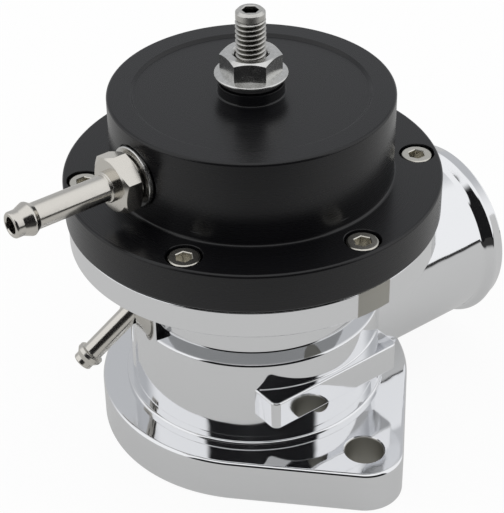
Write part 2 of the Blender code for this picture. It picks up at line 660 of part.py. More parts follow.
def build_valve(steel, alloy, rubber, zinc):
    """The rising group: stem, head, seal, plates and the two nuts."""
    head_nut_z = HEAD_Z - GAP - STEM_NUT_H
    add("valve_stem", turned([
        (0.0, head_nut_z - STEM_END), (STEM_TOP_R, head_nut_z - STEM_END, GAP),
        (STEM_TOP_R, COLLAR_Z), (COLLAR_R, COLLAR_Z), (COLLAR_R, COLLAR_Z + COLLAR_H),
        (STEM_R, COLLAR_Z + COLLAR_H), (STEM_R, SHOULDER_Z), (STEM_TOP_R, SHOULDER_Z),
        (STEM_TOP_R, STEM_TOP_Z, GAP), (0.0, STEM_TOP_Z),
    ], STEM_SIDES), steel)
    groove_in = SEAL_IN_R - GAP
    groove_out = SEAL_OUT_R + GAP
    groove_z = HEAD_Z + SEAL_T + GAP
    bore_r = STEM_TOP_BORE_R
    add("valve_head", turned([
        (bore_r, HEAD_Z), (groove_in, HEAD_Z), (groove_in, groove_z), (groove_out, groove_z),
        (groove_out, HEAD_Z), (HEAD_OUT_R + GAP, HEAD_Z), (HEAD_OUT_R + GAP, HEAD_Z + HEAD_T, GAP),
        (HUB_R + HUB_H, HEAD_Z + HEAD_T), (HUB_R, HUB_Z), (bore_r, HUB_Z),
    ], PLATE_SIDES), alloy)
    add("valve_seal", turned([
        (SEAL_IN_R, HEAD_Z), (SEAL_OUT_R, HEAD_Z), (SEAL_OUT_R, HEAD_Z + SEAL_T),
        (SEAL_IN_R, HEAD_Z + SEAL_T),
    ], PLATE_SIDES), rubber)
    stem_nut("head_nut", head_nut_z, STEM_TOP_BORE_R, zinc)
    add("lower_plate", turned([
        (bore_r, LOWER_PLATE_Z), (PLATE_R, LOWER_PLATE_Z, 2.0 * GAP),
        (PLATE_R, LOWER_PLATE_Z + LOWER_PLATE_T), (bore_r, LOWER_PLATE_Z + LOWER_PLATE_T),
    ], PLATE_SIDES), alloy)
    top_z = UPPER_PLATE_Z + UPPER_PLATE_T
    add("upper_plate", turned([
        (bore_r, UPPER_PLATE_Z), (PLATE_R, UPPER_PLATE_Z), (PLATE_R, top_z, 2.0 * GAP),
        (SPRING_HUB_R, top_z), (SPRING_HUB_R, top_z + SPRING_HUB_H, GAP),
        (bore_r, top_z + SPRING_HUB_H),
    ], PLATE_SIDES), alloy)
    stem_nut("plate_nut", STEM_NUT_Z, STEM_TOP_BORE_R, zinc)


def build_diaphragm(rubber):
    """Moulded rubber: flat middle, one rolled arch and a clamped rim."""
    inner_r = PLATE_R + PLATE_MARGIN / 2.0
    outer_r = CAP_BORE_R - GAP
    low = RUBBER_Z
    high = RIM_SEAT_Z + GAP
    under, over = [], []
    for step in range(ARCH_STEPS + 1):
        share = step / ARCH_STEPS
        r = inner_r + (outer_r - inner_r) * share
        base = low + (high - low) * share
        arch = ARCH_H * math.sin(math.pi * share)
        rubber_t = RUBBER_T + (RIM_T - RUBBER_T) * share
        under.append((r, base + arch))
        over.append((r, base + arch + rubber_t))
    profile = [(STEM_TOP_BORE_R, low)] + under + [(RIM_R, high), (RIM_R, high + RIM_T)]
    profile += over[::-1] + [(STEM_TOP_BORE_R, low + RUBBER_T)]
    add("diaphragm", turned(profile, PLATE_SIDES), rubber)


def build_guides(bronze, rubber):
    """Bush and seal that the stem slides in."""
    bush_r = STEM_BORE_R + BUSH_WALL
    top_z = FLOOR_Z - STEM_SEAL_T - GAP - GAP
    add("guide_bush", turned([
        (STEM_BORE_R, BOSS_Z), (bush_r, BOSS_Z), (bush_r, top_z), (STEM_BORE_R, top_z),
    ], STEM_SIDES), bronze)
    seal_r = STEM_BORE_R + STEM_SEAL_W
    seal_z = FLOOR_Z - STEM_SEAL_T
    add("stem_seal", turned([
        (STEM_BORE_R, seal_z), (seal_r, seal_z, GAP), (seal_r, FLOOR_Z - GAP, GAP),
        (STEM_BORE_R, FLOOR_Z - GAP),
    ], STEM_SIDES), rubber)


def build_spring(steel):
    """Compression spring: the wire follows a helix with flattened end turns."""
    steps = int(SPRING_TURNS * TURN_STEPS)
    rise = SPRING_L - 2.0 * WIRE_R
    work = bmesh.new()
    rings = []
    for step in range(steps + 1):
        turn = math.tau * SPRING_TURNS * step / steps
        share = (turn / math.tau - END_TURNS) / (SPRING_TURNS - 2.0 * END_TURNS)
        share = min(max(share, 0.0), 1.0)
        centre_z = SPRING_Z + WIRE_R + rise * share
        overlap = 0.0 if 0.0 < share < 1.0 else GAP
        outward = Vector((math.cos(turn), math.sin(turn), 0.0))
        centre = outward * (SPRING_R + overlap) + Vector((0, 0, centre_z))
        ring = []
        for side in range(WIRE_SIDES):
            angle = math.tau * side / WIRE_SIDES
            spoke = outward * math.cos(angle) + Vector((0, 0, math.sin(angle)))
            ring.append(work.verts.new(centre + spoke * WIRE_R))
        rings.append(ring)
    for near, far in zip(rings, rings[1:]):
        for side in range(WIRE_SIDES):
            after = (side + 1) % WIRE_SIDES
            work.faces.new((near[side], near[after], far[after], far[side]))
    work.faces.new(rings[0])
    work.faces.new(rings[-1])
    bmesh.ops.recalc_face_normals(work, faces=work.faces)
    add("spring", work, steel)


def build_upper_nipple(nickel, zinc):
    """Turned hose nipple with a hexagon, screwed into the cap over a washer."""
    seat = CAP_R - SPOT_DEPTH
    foot_start = seat + 2.0 * GAP + NIPPLE_WASHER_T
    hex_start = foot_start + NIPPLE_FOOT_L
    hex_end = hex_start + NIPPLE_HEX_L
    thread_end = CAP_BORE_R + 2.0 * GAP
    bead_start = NIPPLE_REACH - NIPPLE_TIP_L - NIPPLE_BEAD_L
    bead_r = NIPPLE_R + NIPPLE_BEAD
    place = lay_along((-1, 0, 0), (0.0, 0.0, NIPPLE_Z))
    stalk = turned([
        (0.0, thread_end), (NIPPLE_THREAD_R, thread_end, GAP), (NIPPLE_THREAD_R, foot_start),
        (NIPPLE_FOOT_R, foot_start), (NIPPLE_FOOT_R, hex_start + GAP),
        (NIPPLE_COLLAR_R, hex_start + GAP), (NIPPLE_COLLAR_R, hex_end + NIPPLE_COLLAR_L, GAP),
        (NIPPLE_R, hex_end + NIPPLE_COLLAR_L), (NIPPLE_R, bead_start),
        (bead_r, bead_start + NIPPLE_BEAD_BACK, NIPPLE_BEAD),
        (NIPPLE_R, NIPPLE_REACH - NIPPLE_TIP_L), (NIPPLE_R, NIPPLE_REACH, 2.0 * GAP),
        (0.0, NIPPLE_REACH),
    ], STEM_SIDES)
    nipple = add("upper_nipple", moved(stalk, place), nickel)
    hexagon_head = prism(hexagon(NIPPLE_HEX, NIPPLE_HEX_TURN), hex_start, hex_end, 2.0 * GAP)
    combine(nipple, "UNION", "nipple_hexagon", moved(hexagon_head, place))
    bore = turned([
        (0.0, thread_end - THROUGH), (NIPPLE_BORE_R, thread_end - THROUGH),
        (NIPPLE_BORE_R, NIPPLE_REACH + THROUGH), (0.0, NIPPLE_REACH + THROUGH),
    ], STEM_SIDES)
    combine(nipple, "DIFFERENCE", "nipple_bore", moved(bore, place))
    washer = turned([
        (NIPPLE_THREAD_R + GAP, seat + GAP), (NIPPLE_WASHER_R, seat + GAP),
        (NIPPLE_WASHER_R, seat + GAP + NIPPLE_WASHER_T),
        (NIPPLE_THREAD_R + GAP, seat + GAP + NIPPLE_WASHER_T),
    ], STEM_SIDES)
    add("nipple_washer", moved(washer, place), zinc)


def build_lower_nipple(nickel):
    """Plain hose nipple, pressed into the body."""
    bead_start = LOWER_REACH - LOWER_TIP_L - LOWER_BEAD_L
    bead_r = LOWER_R + LOWER_BEAD
    tube = turned([
        (LOWER_BORE_R, -LOWER_HOLD), (LOWER_R, -LOWER_HOLD), (LOWER_R, bead_start),
        (bead_r, bead_start, GAP), (bead_r, bead_start + LOWER_BEAD_L / 2.0, GAP),
        (LOWER_R, LOWER_REACH - LOWER_TIP_L), (LOWER_R, LOWER_REACH, 2.0 * GAP),
        (LOWER_BORE_R, LOWER_REACH),
    ], STEM_SIDES)
    add("lower_nipple", moved(tube, lower_nipple_place()), nickel)


def main():
    for leftover in list(bpy.data.objects):
        bpy.data.objects.remove(leftover, do_unlink=True)
    chrome = surface("polished_chrome", (0.60, 0.60, 0.61), 1.0, 0.06)
    black = surface("black_anodised", (0.030, 0.030, 0.033), 0.3, 0.38)
    steel = surface("bright_steel", (0.62, 0.61, 0.58), 1.0, 0.25)
    zinc = surface("zinc_plate", (0.66, 0.67, 0.69), 1.0, 0.28)
    nickel = surface("nickel_plate", (0.70, 0.68, 0.62), 1.0, 0.18)
    alloy = surface("plain_aluminium", (0.70, 0.71, 0.72), 1.0, 0.35)
    bronze = surface("bronze", (0.62, 0.42, 0.20), 1.0, 0.35)
    rubber = surface("black_rubber", (0.025, 0.025, 0.026), 0.0, 0.7)
    build_body(chrome)
    build_guides(bronze, rubber)
    build_valve(steel, alloy, rubber, zinc)
    build_diaphragm(rubber)
    build_spring(steel)
    build_cap(black)
    build_cap_screws(steel)
    build_adjuster(steel, zinc)
    build_lock_nut(zinc, rubber)
    build_upper_nipple(nickel, zinc)
    build_lower_nipple(nickel)


main()
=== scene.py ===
import math

import bpy
import numpy as np
from mathutils import Matrix, Vector


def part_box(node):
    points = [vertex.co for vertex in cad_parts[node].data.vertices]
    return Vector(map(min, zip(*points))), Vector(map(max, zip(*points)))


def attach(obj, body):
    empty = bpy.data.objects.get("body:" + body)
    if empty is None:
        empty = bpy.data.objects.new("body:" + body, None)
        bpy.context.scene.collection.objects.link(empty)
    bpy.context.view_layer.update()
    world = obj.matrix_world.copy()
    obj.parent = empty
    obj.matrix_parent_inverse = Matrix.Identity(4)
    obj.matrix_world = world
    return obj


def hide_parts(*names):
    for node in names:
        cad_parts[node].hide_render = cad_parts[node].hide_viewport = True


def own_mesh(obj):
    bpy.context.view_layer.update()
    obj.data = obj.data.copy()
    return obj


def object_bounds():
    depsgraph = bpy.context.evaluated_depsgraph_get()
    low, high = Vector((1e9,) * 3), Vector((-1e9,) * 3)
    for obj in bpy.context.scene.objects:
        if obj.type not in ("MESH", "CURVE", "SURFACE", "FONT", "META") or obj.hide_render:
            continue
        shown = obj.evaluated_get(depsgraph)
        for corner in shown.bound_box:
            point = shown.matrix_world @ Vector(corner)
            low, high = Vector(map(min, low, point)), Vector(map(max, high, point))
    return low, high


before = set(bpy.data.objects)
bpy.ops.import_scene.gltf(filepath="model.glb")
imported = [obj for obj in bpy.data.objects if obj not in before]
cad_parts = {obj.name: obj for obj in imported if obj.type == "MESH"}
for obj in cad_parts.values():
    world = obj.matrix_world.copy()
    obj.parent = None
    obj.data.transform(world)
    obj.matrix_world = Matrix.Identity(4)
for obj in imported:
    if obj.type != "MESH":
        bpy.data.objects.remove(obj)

cad_low, cad_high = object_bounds()

# Body
# One aluminium casting: two-bolt foot, neck, hose outlet and top flange in one piece.
# The foundry casts it, the outside is turned and buffed, and it is plated to a mirror.
# Everything else screws, slides or presses into it.
MM = 0.001
BASE_T = 9.6 * MM
BASE_R = 33.3 * MM
BASE_EDGE = 0.8 * MM
BOLT_Y = 36.5 * MM
EAR_R = 8.1 * MM
BOLT_HOLE_R = 4.0 * MM
HOLE_CHAMFER = 0.3 * MM
BODY_R = 26.8 * MM
NECK_R = 24.5 * MM
COLLAR = 1.2 * MM         # width and height of the step round the foot of the neck
FLANGE_R = 37.85 * MM
FLANGE_T = 5.9 * MM
FLANGE_EDGE = 0.6 * MM
RELIEF_Z = 29.9 * MM
RELIEF_RISE = 1.8 * MM    # how far the relief's floor climbs towards the neck
RELIEF_ROOT = 0.6 * MM
RELIEF_EDGE = 0.8 * MM
LAP = 0.03 * MM           # how far a rounded tool runs past the face that it blends into
RELIEF_END = 2.0 * MM
EDGE_BREAK = 0.25 * MM
CLEARANCE = 0.3 * MM      # between two pieces, or between the wall of an opening and what it passes
PAD_HALF_W = 16.4 * MM
PAD_FRONT = 27.8 * MM
PAD_BACK = 9.5 * MM
PAD_Z = 17.5 * MM
PAD_TOP_Z = 24.0 * MM
PAD_EDGE = 0.8 * MM
PAD_CORNER = 1.5 * MM
PAD_ROOT = 0.4 * MM
OUTLET_Z = 23.5 * MM
OUTLET_R = 19.0 * MM
OUTLET_BORE_R = 17.0 * MM
THROAT_END = 16.8 * MM    # where the narrower bore from the chamber meets the outlet's own
BEAD_R = 20.4 * MM
BEAD_W = 5.2 * MM
BEAD_RISE = 1.8 * MM
BEAD_TOP_W = 0.5 * MM
BEAD_ROOT = 2.0 * MM
BEAD_ROUND = 1.0 * MM
BEAD_FRONT_ROUND = 1.4 * MM
LIP_R = 19.4 * MM
INLET_R = 13.5 * MM
SHELF_Z = 11.0 * MM
SEAT_Z = 12.2 * MM
SEAT_R = 15.0 * MM
CHAMBER_R = 19.0 * MM
CHAMBER_Z = 34.0 * MM
GUIDE_R = 8.0 * MM
GUIDE_Z = 30.1 * MM
BUSH_BORE_R = 5.3 * MM
SEAL_BORE_R = 6.0 * MM
SEAL_Z = 40.1 * MM
FLOOR_Z = 43.0 * MM
LOWER_CHAMBER_R = 19.3 * MM
SHOULDER_Z = 48.3 * MM
CAP_BORE_R = 23.5 * MM
RIM_R = 28.3 * MM
RIM_Z = 49.9 * MM
SCREW_CIRCLE_R = 33.9 * MM
TAPPED_R = 2.2 * MM
TAPPED_Z = 47.55 * MM
PORT_ANGLE = math.radians(160.0)
PORT_TILT = math.radians(43.0)
PORT_Z = 30.2 * MM
PORT_R = 2.45 * MM
PORT_DRILL_R = 1.3 * MM
PORT_DEPTH = 6.3 * MM
PORT_OUT = 10.0 * MM      # how far its cutter stands out of the body
PAST = 2.0 * MM           # how far a cutter runs past the face it opens
FINE = 256                # steps round a large turned surface
COARSE = 96               # steps round a small one
SCREW_STEPS = 64          # steps round a cap screw and its pocket
TAPPED_STEPS = 32         # steps round the tapped hole under it, which the screw fills

_, body_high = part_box("body_casting")
BODY_Z = body_high.z
UNDERSIDE_Z = BODY_Z - FLANGE_T
OUTLET_X = body_high.x


def rounded(corners, closed=False, step=math.radians(10.0)):
    """Runs of a profile whose corners (out, up, radius) are arcs.

    Returns the start points, the end points and the normals at both. Along a straight run the
    normal is the run's direction turned clockwise. Round a corner it turns evenly from one
    run's normal to the next, and the point is the arc's centre plus the radius times the normal.
    """
    spots = [np.array(corner[:2], float) for corner in corners]
    radii = [corner[2] if len(corner) > 2 else 0.0 for corner in corners]
    count = len(spots)
    last = count if closed else count - 1
    runs = [spots[(i + 1) % count] - spots[i] for i in range(last)]
    lengths = [np.linalg.norm(run) for run in runs]
    normals = [np.array([run[1], -run[0]]) / length for run, length in zip(runs, lengths)]
    points, sides = [], []
    for i in range(count):
        before, after = (i - 1) % count, i
        inner = closed or 0 < i < count - 1
        if not inner or not radii[i]:
            points.append(spots[i])
            sides.append((normals[before if i or closed else 0], normals[min(after, last - 1)]))
            continue
        a, b = normals[before], normals[after]
        turn = math.atan2(a[0] * b[1] - a[1] * b[0], a @ b)
        room = 0.49 * min(lengths[before], lengths[after])
        setback = min(radii[i] * abs(math.tan(turn / 2.0)), room)
        radius = math.copysign(setback / abs(math.tan(turn / 2.0)), turn)
        centre = spots[i] - runs[before] / lengths[before] * setback - a * radius
        steps = max(2, math.ceil(abs(turn) / step))
        for share in np.linspace(0.0, 1.0, steps + 1):
            angle = math.atan2(a[1], a[0]) + turn * share
            normal = np.array([math.cos(angle), math.sin(angle)])
            points.append(centre + radius * normal)
            sides.append((a if share == 0.0 else normal, b if share == 1.0 else normal))
    ends = list(range(1, len(points))) + ([0] if closed else [])
    starts = list(range(len(ends)))
    place = np.array(points)
    leaving = np.array([sides[i][1] for i in starts])
    arriving = np.array([sides[i][0] for i in ends])
    return place, leaving, arriving


def mesh_object(name, vertices, faces, corner_normals):
    """A mesh that also stores the true surface normal at every corner of every face."""
    mesh = bpy.data.meshes.new(name)
    mesh.from_pydata(vertices, [], faces)
    stored = mesh.attributes.new("true_normal", "FLOAT_VECTOR", "CORNER")
    stored.data.foreach_set("vector", corner_normals.astype(np.float32).ravel())
    piece = bpy.data.objects.new(name, mesh)
    bpy.context.scene.collection.objects.link(piece)
    return piece


def skinned(name, rows, below, above, up, closed=False):
    """Quads between rows of points, with the normals below and above each strip.

    A closed skin joins its last row to its first. An open one gets a flat face on each end.
    """
    count = rows.shape[1]
    index = np.arange(rows.shape[0] * count).reshape(-1, count)
    low = index if closed else index[:-1]
    high = np.roll(index, -1, 0) if closed else index[1:]
    quads = np.stack([low, np.roll(low, -1, 1), np.roll(high, -1, 1), high], -1)
    at_corners = np.stack([below, np.roll(below, -1, 1), np.roll(above, -1, 1), above], -2)
    faces = quads.reshape(-1, 4).tolist()
    normals = [at_corners.reshape(-1, 3)]
    if not closed:
        faces += [index[0, ::-1].tolist(), index[-1].tolist()]
        normals += [np.tile(-up, (count, 1)), np.tile(up, (count, 1))]
    return mesh_object(name, rows.reshape(-1, 3), faces, np.concatenate(normals))


def swept(name, corners, heading, centres=0.0, reach=0.0, closed=False, axes=np.eye(3), origin=(0, 0, 0)):
    """A profile (out, up) carried round a path of outward headings.

    point(u, v) = centre(u) + (reach(u) + out(v)) heading(u) + up(v) z, then laid along axes.
    The normal is the profile's own, on the same two directions.
    """
    place, leaving, arriving = rounded(corners, closed)
    turn = np.array(axes, float).T

    def lifted(pairs, offset=0.0, stretch=0.0):
        space = np.zeros((len(pairs), len(heading), 3))
        space[..., :2] = offset + (stretch + pairs[:, None, :1]) * heading
        space[..., 2] = pairs[:, 1, None]
        return space @ turn

    rows = lifted(place, centres, reach) + np.array(origin, float)
    return skinned(name, rows, lifted(leaving), lifted(arriving), turn[2], closed)


def circle(count):
    """Unit headings (cos u, sin u), evenly round a full turn."""
    u = np.arange(count) * (2.0 * math.pi / count)
    return np.stack([np.cos(u), np.sin(u)], -1)


def turned(name, corners, count=FINE, **placing):
    """Surface of revolution: point(u, v) = (out(v) cos u, out(v) sin u, up(v))."""
    return swept(name, corners, circle(count), **placing)


def cut_by(cutter):
    """Turn a cutter's normals, because the wall it leaves faces the other way."""
    stored = cutter.data.attributes["true_normal"]
    values = np.zeros(len(cutter.data.loops) * 3, np.float32)
    stored.data.foreach_get("vector", values)
    stored.data.foreach_set("vector", -values)
    return cutter


def machined(piece, *steps):
    """Join, cut or intersect a piece with tools, then keep the result and its true normals."""
    for operation, tool in steps:
        change = piece.modifiers.new(tool.name, "BOOLEAN")
        change.operation = operation
        change.solver = "EXACT"
        change.object = cut_by(tool) if operation == "DIFFERENCE" else tool
    result = bpy.data.meshes.new_from_object(piece.evaluated_get(bpy.context.evaluated_depsgraph_get()))
    piece.modifiers.clear()
    piece.data = result
    for _, tool in steps:
        bpy.data.objects.remove(tool, do_unlink=True)
    return piece


def shown(piece, material, body, node):
    """Shade a piece by its true normals, give it its finish, and stand it in for a CAD node."""
    mesh = piece.data
    values = np.zeros(len(mesh.loops) * 3, np.float32)
    mesh.attributes["true_normal"].data.foreach_get("vector", values)
    normals = values.reshape(-1, 3)
    lengths = np.linalg.norm(normals, axis=1, keepdims=True)
    mesh.shade_smooth()
    mesh.normals_split_custom_set(normals / np.maximum(lengths, 1e-9))
    mesh.attributes.remove(mesh.attributes["true_normal"])
    mesh.materials.clear()
    mesh.materials.append(material.owner)
    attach(piece, body)
    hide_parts(node)
    return piece


def dressed(material, *nodes):
    """Give CAD nodes, which keep their own shape, a finish."""
    for name in nodes:
        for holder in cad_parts[name].material_slots:
            holder.material = material.owner


def along_x(height):
    """Placing for a piece turned about an axis that runs along +X at a height."""
    return {"axes": [[0, 0, 1], [0, 1, 0], [-1, 0, 0]], "origin": (0.0, 0.0, height)}


def drum(name, radius, bottom, top, count=COARSE, **placing):
    """A plain cylinder."""
    return turned(name, [(radius, bottom), (radius, top)], count, **placing)


def ear_path(big, small, apart, arc=64):
    """Headings, centres and radii round a disc and two smaller ones, joined by their tangents.

    Each of the four arcs turns evenly between the tangents' shared headings. Between two arcs the
    heading stays and the centre and the radius change together, which is the straight tangent.
    """
    lean = math.acos((big - small) / apart)
    turns, spots, radii = [], [], []
    for side in (1.0, -1.0):
        middle = side * math.pi / 2.0
        turns += [np.linspace(middle - lean, middle + lean, arc)]
        turns += [np.linspace(middle + lean, middle + math.pi - lean, arc)]
        spots += [np.tile([0.0, side * apart], (arc, 1)), np.zeros((arc, 2))]
        radii += [np.full(arc, small), np.full(arc, big)]
    turn = np.concatenate(turns)
    heading = np.stack([np.cos(turn), np.sin(turn)], -1)
    return heading, np.concatenate(spots), np.concatenate(radii)[:, None]


def outline(corners, radius, arc=8):
    """Headings and centres round a convex outline of anticlockwise corners, each one rounded.

    At a corner the heading turns evenly from one side's normal to the next, about a centre that
    lies the radius inside both sides.
    """
    spots = np.array(corners, float)
    runs = np.roll(spots, -1, 0) - spots
    after = np.arctan2(-runs[:, 0], runs[:, 1])
    before = np.roll(after, 1)
    sweep = (after - before) % (2.0 * math.pi)
    middle = before + sweep / 2.0
    inset = spots - radius / np.cos(sweep / 2.0)[:, None] * np.stack([np.cos(middle), np.sin(middle)], -1)
    turn = (before[:, None] + sweep[:, None] * np.linspace(0.0, 1.0, arc)).ravel()
    return np.stack([np.cos(turn), np.sin(turn)], -1), np.repeat(inset, arc, 0), radius


def box_outline(low_x, high_x, low_y, high_y, radius):
    """The outline of a rectangle."""
    return outline([(high_x, high_y), (low_x, high_y), (low_x, low_y), (high_x, low_y)], radius)


foot = BASE_T / 2.0
body = turned("body", [
    (BODY_R, foot), (BODY_R, UNDERSIDE_Z, COLLAR),
    (FLANGE_R, UNDERSIDE_Z, FLANGE_EDGE), (FLANGE_R, BODY_Z, EDGE_BREAK),
    (CAP_BORE_R, BODY_Z),
])
relief = turned("relief", [
    (NECK_R, RELIEF_Z + RELIEF_RISE, RELIEF_ROOT), (BODY_R + LAP, RELIEF_Z, RELIEF_EDGE),
    (BODY_R + LAP, RELIEF_Z - PAST), (BODY_R + PAST, RELIEF_Z - PAST),
    (BODY_R + PAST, UNDERSIDE_Z), (NECK_R, UNDERSIDE_Z, 2.0 * EDGE_BREAK),
], closed=True)
front_half = swept("front_half", [(0.0, 0.0), (0.0, BODY_Z)],
                   *box_outline(-FLANGE_R, FLANGE_R, -FLANGE_R, -RELIEF_END, EDGE_BREAK))
machined(relief, ("INTERSECT", front_half))
ears, ear_spots, ear_radii = ear_path(BASE_R, EAR_R, BOLT_Y)
base = swept("base", [
    (-BASE_EDGE, 0.0), (0.0, 0.0, EDGE_BREAK), (0.0, BASE_T, BASE_EDGE), (-2.0 * BASE_EDGE, BASE_T),
], ears, ear_spots, ear_radii)
collar = turned("collar", [
    (BODY_R - PAST, foot + EDGE_BREAK), (BODY_R + COLLAR, foot + EDGE_BREAK),
    (BODY_R + COLLAR, BASE_T + COLLAR, COLLAR / 2.0), (BODY_R - PAST, BASE_T + COLLAR),
])
pad = swept("pad", [
    (-PAD_EDGE, PAD_Z), (0.0, PAD_Z, PAD_EDGE), (0.0, PAD_TOP_Z, PAD_EDGE), (-PAD_EDGE, PAD_TOP_Z),
], *box_outline(-PAD_HALF_W, PAD_HALF_W, -PAD_FRONT, -PAD_BACK, PAD_CORNER))
pad_root = turned("pad_root", [
    (BODY_R - PAST, PAD_TOP_Z - PAD_ROOT), (BODY_R + PAD_EDGE, PAD_TOP_Z - PAD_ROOT),
    (BODY_R + PAD_EDGE, PAD_TOP_Z - LAP / 2.0), (BODY_R - LAP / 2.0, PAD_TOP_Z - LAP / 2.0, PAD_ROOT),
    (BODY_R - LAP / 2.0, PAD_TOP_Z + PAD_EDGE), (BODY_R - PAST, PAD_TOP_Z + PAD_EDGE),
])
pad_sides = PAD_HALF_W - PAD_EDGE
machined(pad_root, ("INTERSECT", swept("pad_root_part", [(0.0, PAD_Z), (0.0, RELIEF_Z)], *box_outline(
    -pad_sides, pad_sides, -PAD_FRONT + PAD_EDGE, -PAD_BACK, PAD_CORNER))))
bead_x = OUTLET_X - BEAD_W
crest_x = bead_x + BEAD_RISE
tube = turned("tube", [
    (OUTLET_R, GUIDE_R), (OUTLET_R, bead_x, BEAD_ROOT),
    (BEAD_R, crest_x, BEAD_ROUND), (BEAD_R, crest_x + BEAD_TOP_W, BEAD_FRONT_ROUND),
    (LIP_R, OUTLET_X - EDGE_BREAK, EDGE_BREAK), (LIP_R, OUTLET_X, EDGE_BREAK),
    (OUTLET_BORE_R - PAST, OUTLET_X),
], **along_x(OUTLET_Z))
cavity = turned("cavity", [
    (INLET_R, -PAST), (INLET_R, SEAT_Z), (SEAT_R, SEAT_Z), (SEAT_R, SHELF_Z),
    (CHAMBER_R, SHELF_Z, COLLAR), (CHAMBER_R, CHAMBER_Z, COLLAR), (GUIDE_R, CHAMBER_Z, EDGE_BREAK),
    (GUIDE_R, GUIDE_Z, EDGE_BREAK), (BUSH_BORE_R, GUIDE_Z), (BUSH_BORE_R, SEAL_Z),
    (SEAL_BORE_R, SEAL_Z), (SEAL_BORE_R, FLOOR_Z), (LOWER_CHAMBER_R, FLOOR_Z, COLLAR),
    (LOWER_CHAMBER_R, SHOULDER_Z), (CAP_BORE_R, SHOULDER_Z), (CAP_BORE_R, RIM_Z),
    (RIM_R, RIM_Z), (RIM_R, BODY_Z + PAST), (BUSH_BORE_R, BODY_Z + PAST),
])
throat_r = OUTLET_Z - SHELF_Z - CLEARANCE
throat_x = GUIDE_R + CLEARANCE
bore = turned("bore", [
    (throat_r - PAST, throat_x), (throat_r, throat_x), (throat_r, THROAT_END), (OUTLET_BORE_R, THROAT_END),
    (OUTLET_BORE_R, OUTLET_X - EDGE_BREAK), (OUTLET_BORE_R + PAST, OUTLET_X + PAST - EDGE_BREAK),
    (OUTLET_BORE_R - PAST, OUTLET_X + PAST - EDGE_BREAK),
], **along_x(OUTLET_Z))
cuts = [("DIFFERENCE", cavity), ("DIFFERENCE", bore)]
chamfer_z = BASE_T - HOLE_CHAMFER
for side in (-1.0, 1.0):
    cuts.append(("DIFFERENCE", turned(f"bolt_hole_{side:+.0f}", [
        (BOLT_HOLE_R, -PAST), (BOLT_HOLE_R, chamfer_z), (BOLT_HOLE_R + PAST, chamfer_z + PAST),
        (BOLT_HOLE_R - PAST, chamfer_z + PAST),
    ], COARSE, origin=(0.0, side * BOLT_Y, 0.0))))


def screw_centre(number):
    """Where a cap screw's axis stands: the six share a circle, and the first is at its top."""
    angle = math.radians(90.0 + 60.0 * number)
    return SCREW_CIRCLE_R * math.cos(angle), SCREW_CIRCLE_R * math.sin(angle), 0.0


for number in range(6):
    tapped = drum(f"tapped_{number}", TAPPED_R, TAPPED_Z, BODY_Z + PAST, TAPPED_STEPS,
                  origin=screw_centre(number))
    cuts.append(("DIFFERENCE", tapped))


def port_placing():
    """Placing for what is turned about the lower nipple's axis, which slopes down and outwards."""
    flat = np.array([math.cos(PORT_ANGLE), math.sin(PORT_ANGLE), 0.0])
    forward = flat * math.cos(PORT_TILT) - np.array([0.0, 0.0, math.sin(PORT_TILT)])
    side = np.array([-flat[1], flat[0], 0.0])
    axes = np.stack([side, np.cross(forward, side), forward], -1)
    return {"axes": axes, "origin": flat * BODY_R + np.array([0.0, 0.0, PORT_Z])}


drill_end = -(FLOOR_Z - PORT_Z + PAST) / math.sin(PORT_TILT)
cuts.append(("DIFFERENCE", turned("port", [
    (PORT_DRILL_R, drill_end), (PORT_DRILL_R, -PORT_DEPTH), (PORT_R, -PORT_DEPTH), (PORT_R, PORT_OUT),
], COARSE, **port_placing())))
machined(body, ("DIFFERENCE", relief), ("UNION", base), ("UNION", collar), ("UNION", pad),
         ("UNION", pad_root), ("UNION", tube), *cuts)


class Wire:
    """One output of a shader node. Arithmetic on wires and numbers adds Math nodes."""

    def __init__(self, tree, socket):
        self.tree, self.socket = tree, socket

    def maths(self, operation, first, second=0.0):
        return self.tree.node("Math", {0: first, 1: second}, operation=operation)

    def __add__(self, other):
        return self.maths("ADD", self, other)

    def __sub__(self, other):
        return self.maths("SUBTRACT", self, other)

    def __mul__(self, other):
        return self.maths("MULTIPLY", self, other)

    def __truediv__(self, other):
        return self.maths("DIVIDE", self, other)

    def __rsub__(self, other):
        return self.maths("SUBTRACT", other, self)

    def __pow__(self, other):
        return self.maths("POWER", self, other)

    __radd__ = __add__
    __rmul__ = __mul__


class Tree:
    """A shader's nodes, added one by one and linked by name."""

    def __init__(self, owner):
        owner.use_nodes = True
        self.owner, self.nodes, self.links = owner, owner.node_tree.nodes, owner.node_tree.links

    def feed(self, socket, value):
        """Link a wire to a socket, or write a number or a colour on it."""
        if isinstance(value, Wire):
            self.links.new(value.socket, socket)
        else:
            socket.default_value = (*value, 1.0) if socket.type == "RGBA" and len(value) == 3 else value

    def node(self, kind, sockets=(), output=0, **settings):
        """Add a node: its settings first, then its sockets."""
        made = self.nodes.new("ShaderNode" + kind)
        for name, value in settings.items():
            setattr(made, name, value)
        for name, value in dict(sockets).items():
            self.feed(made.inputs[name], value)
        return Wire(self, made.outputs[output])


def finish(name, colour, metallic, roughness, **constants):
    """A Principled finish. Constants are its sockets that stay the same all over."""
    tree = Tree(bpy.data.materials.new(name))
    shader = tree.nodes["Principled BSDF"]
    tree.feed(shader.inputs["Base Color"], colour)
    tree.feed(shader.inputs["Metallic"], metallic)
    tree.feed(shader.inputs["Roughness"], roughness)
    for socket, value in constants.items():
        tree.feed(shader.inputs[socket.replace("_", " ").title().replace("Ior", "IOR")], value)
    tree.shader = shader
    tree.place = tree.node("TexCoord", output="Object")
    return tree


def noise(tree, scale, detail=2.0, vector=None):
    """Cloudy noise from 0 to 1; scale is in cells a metre."""
    return tree.node("TexNoise", {"Vector": vector or tree.place, "Scale": scale, "Detail": detail})


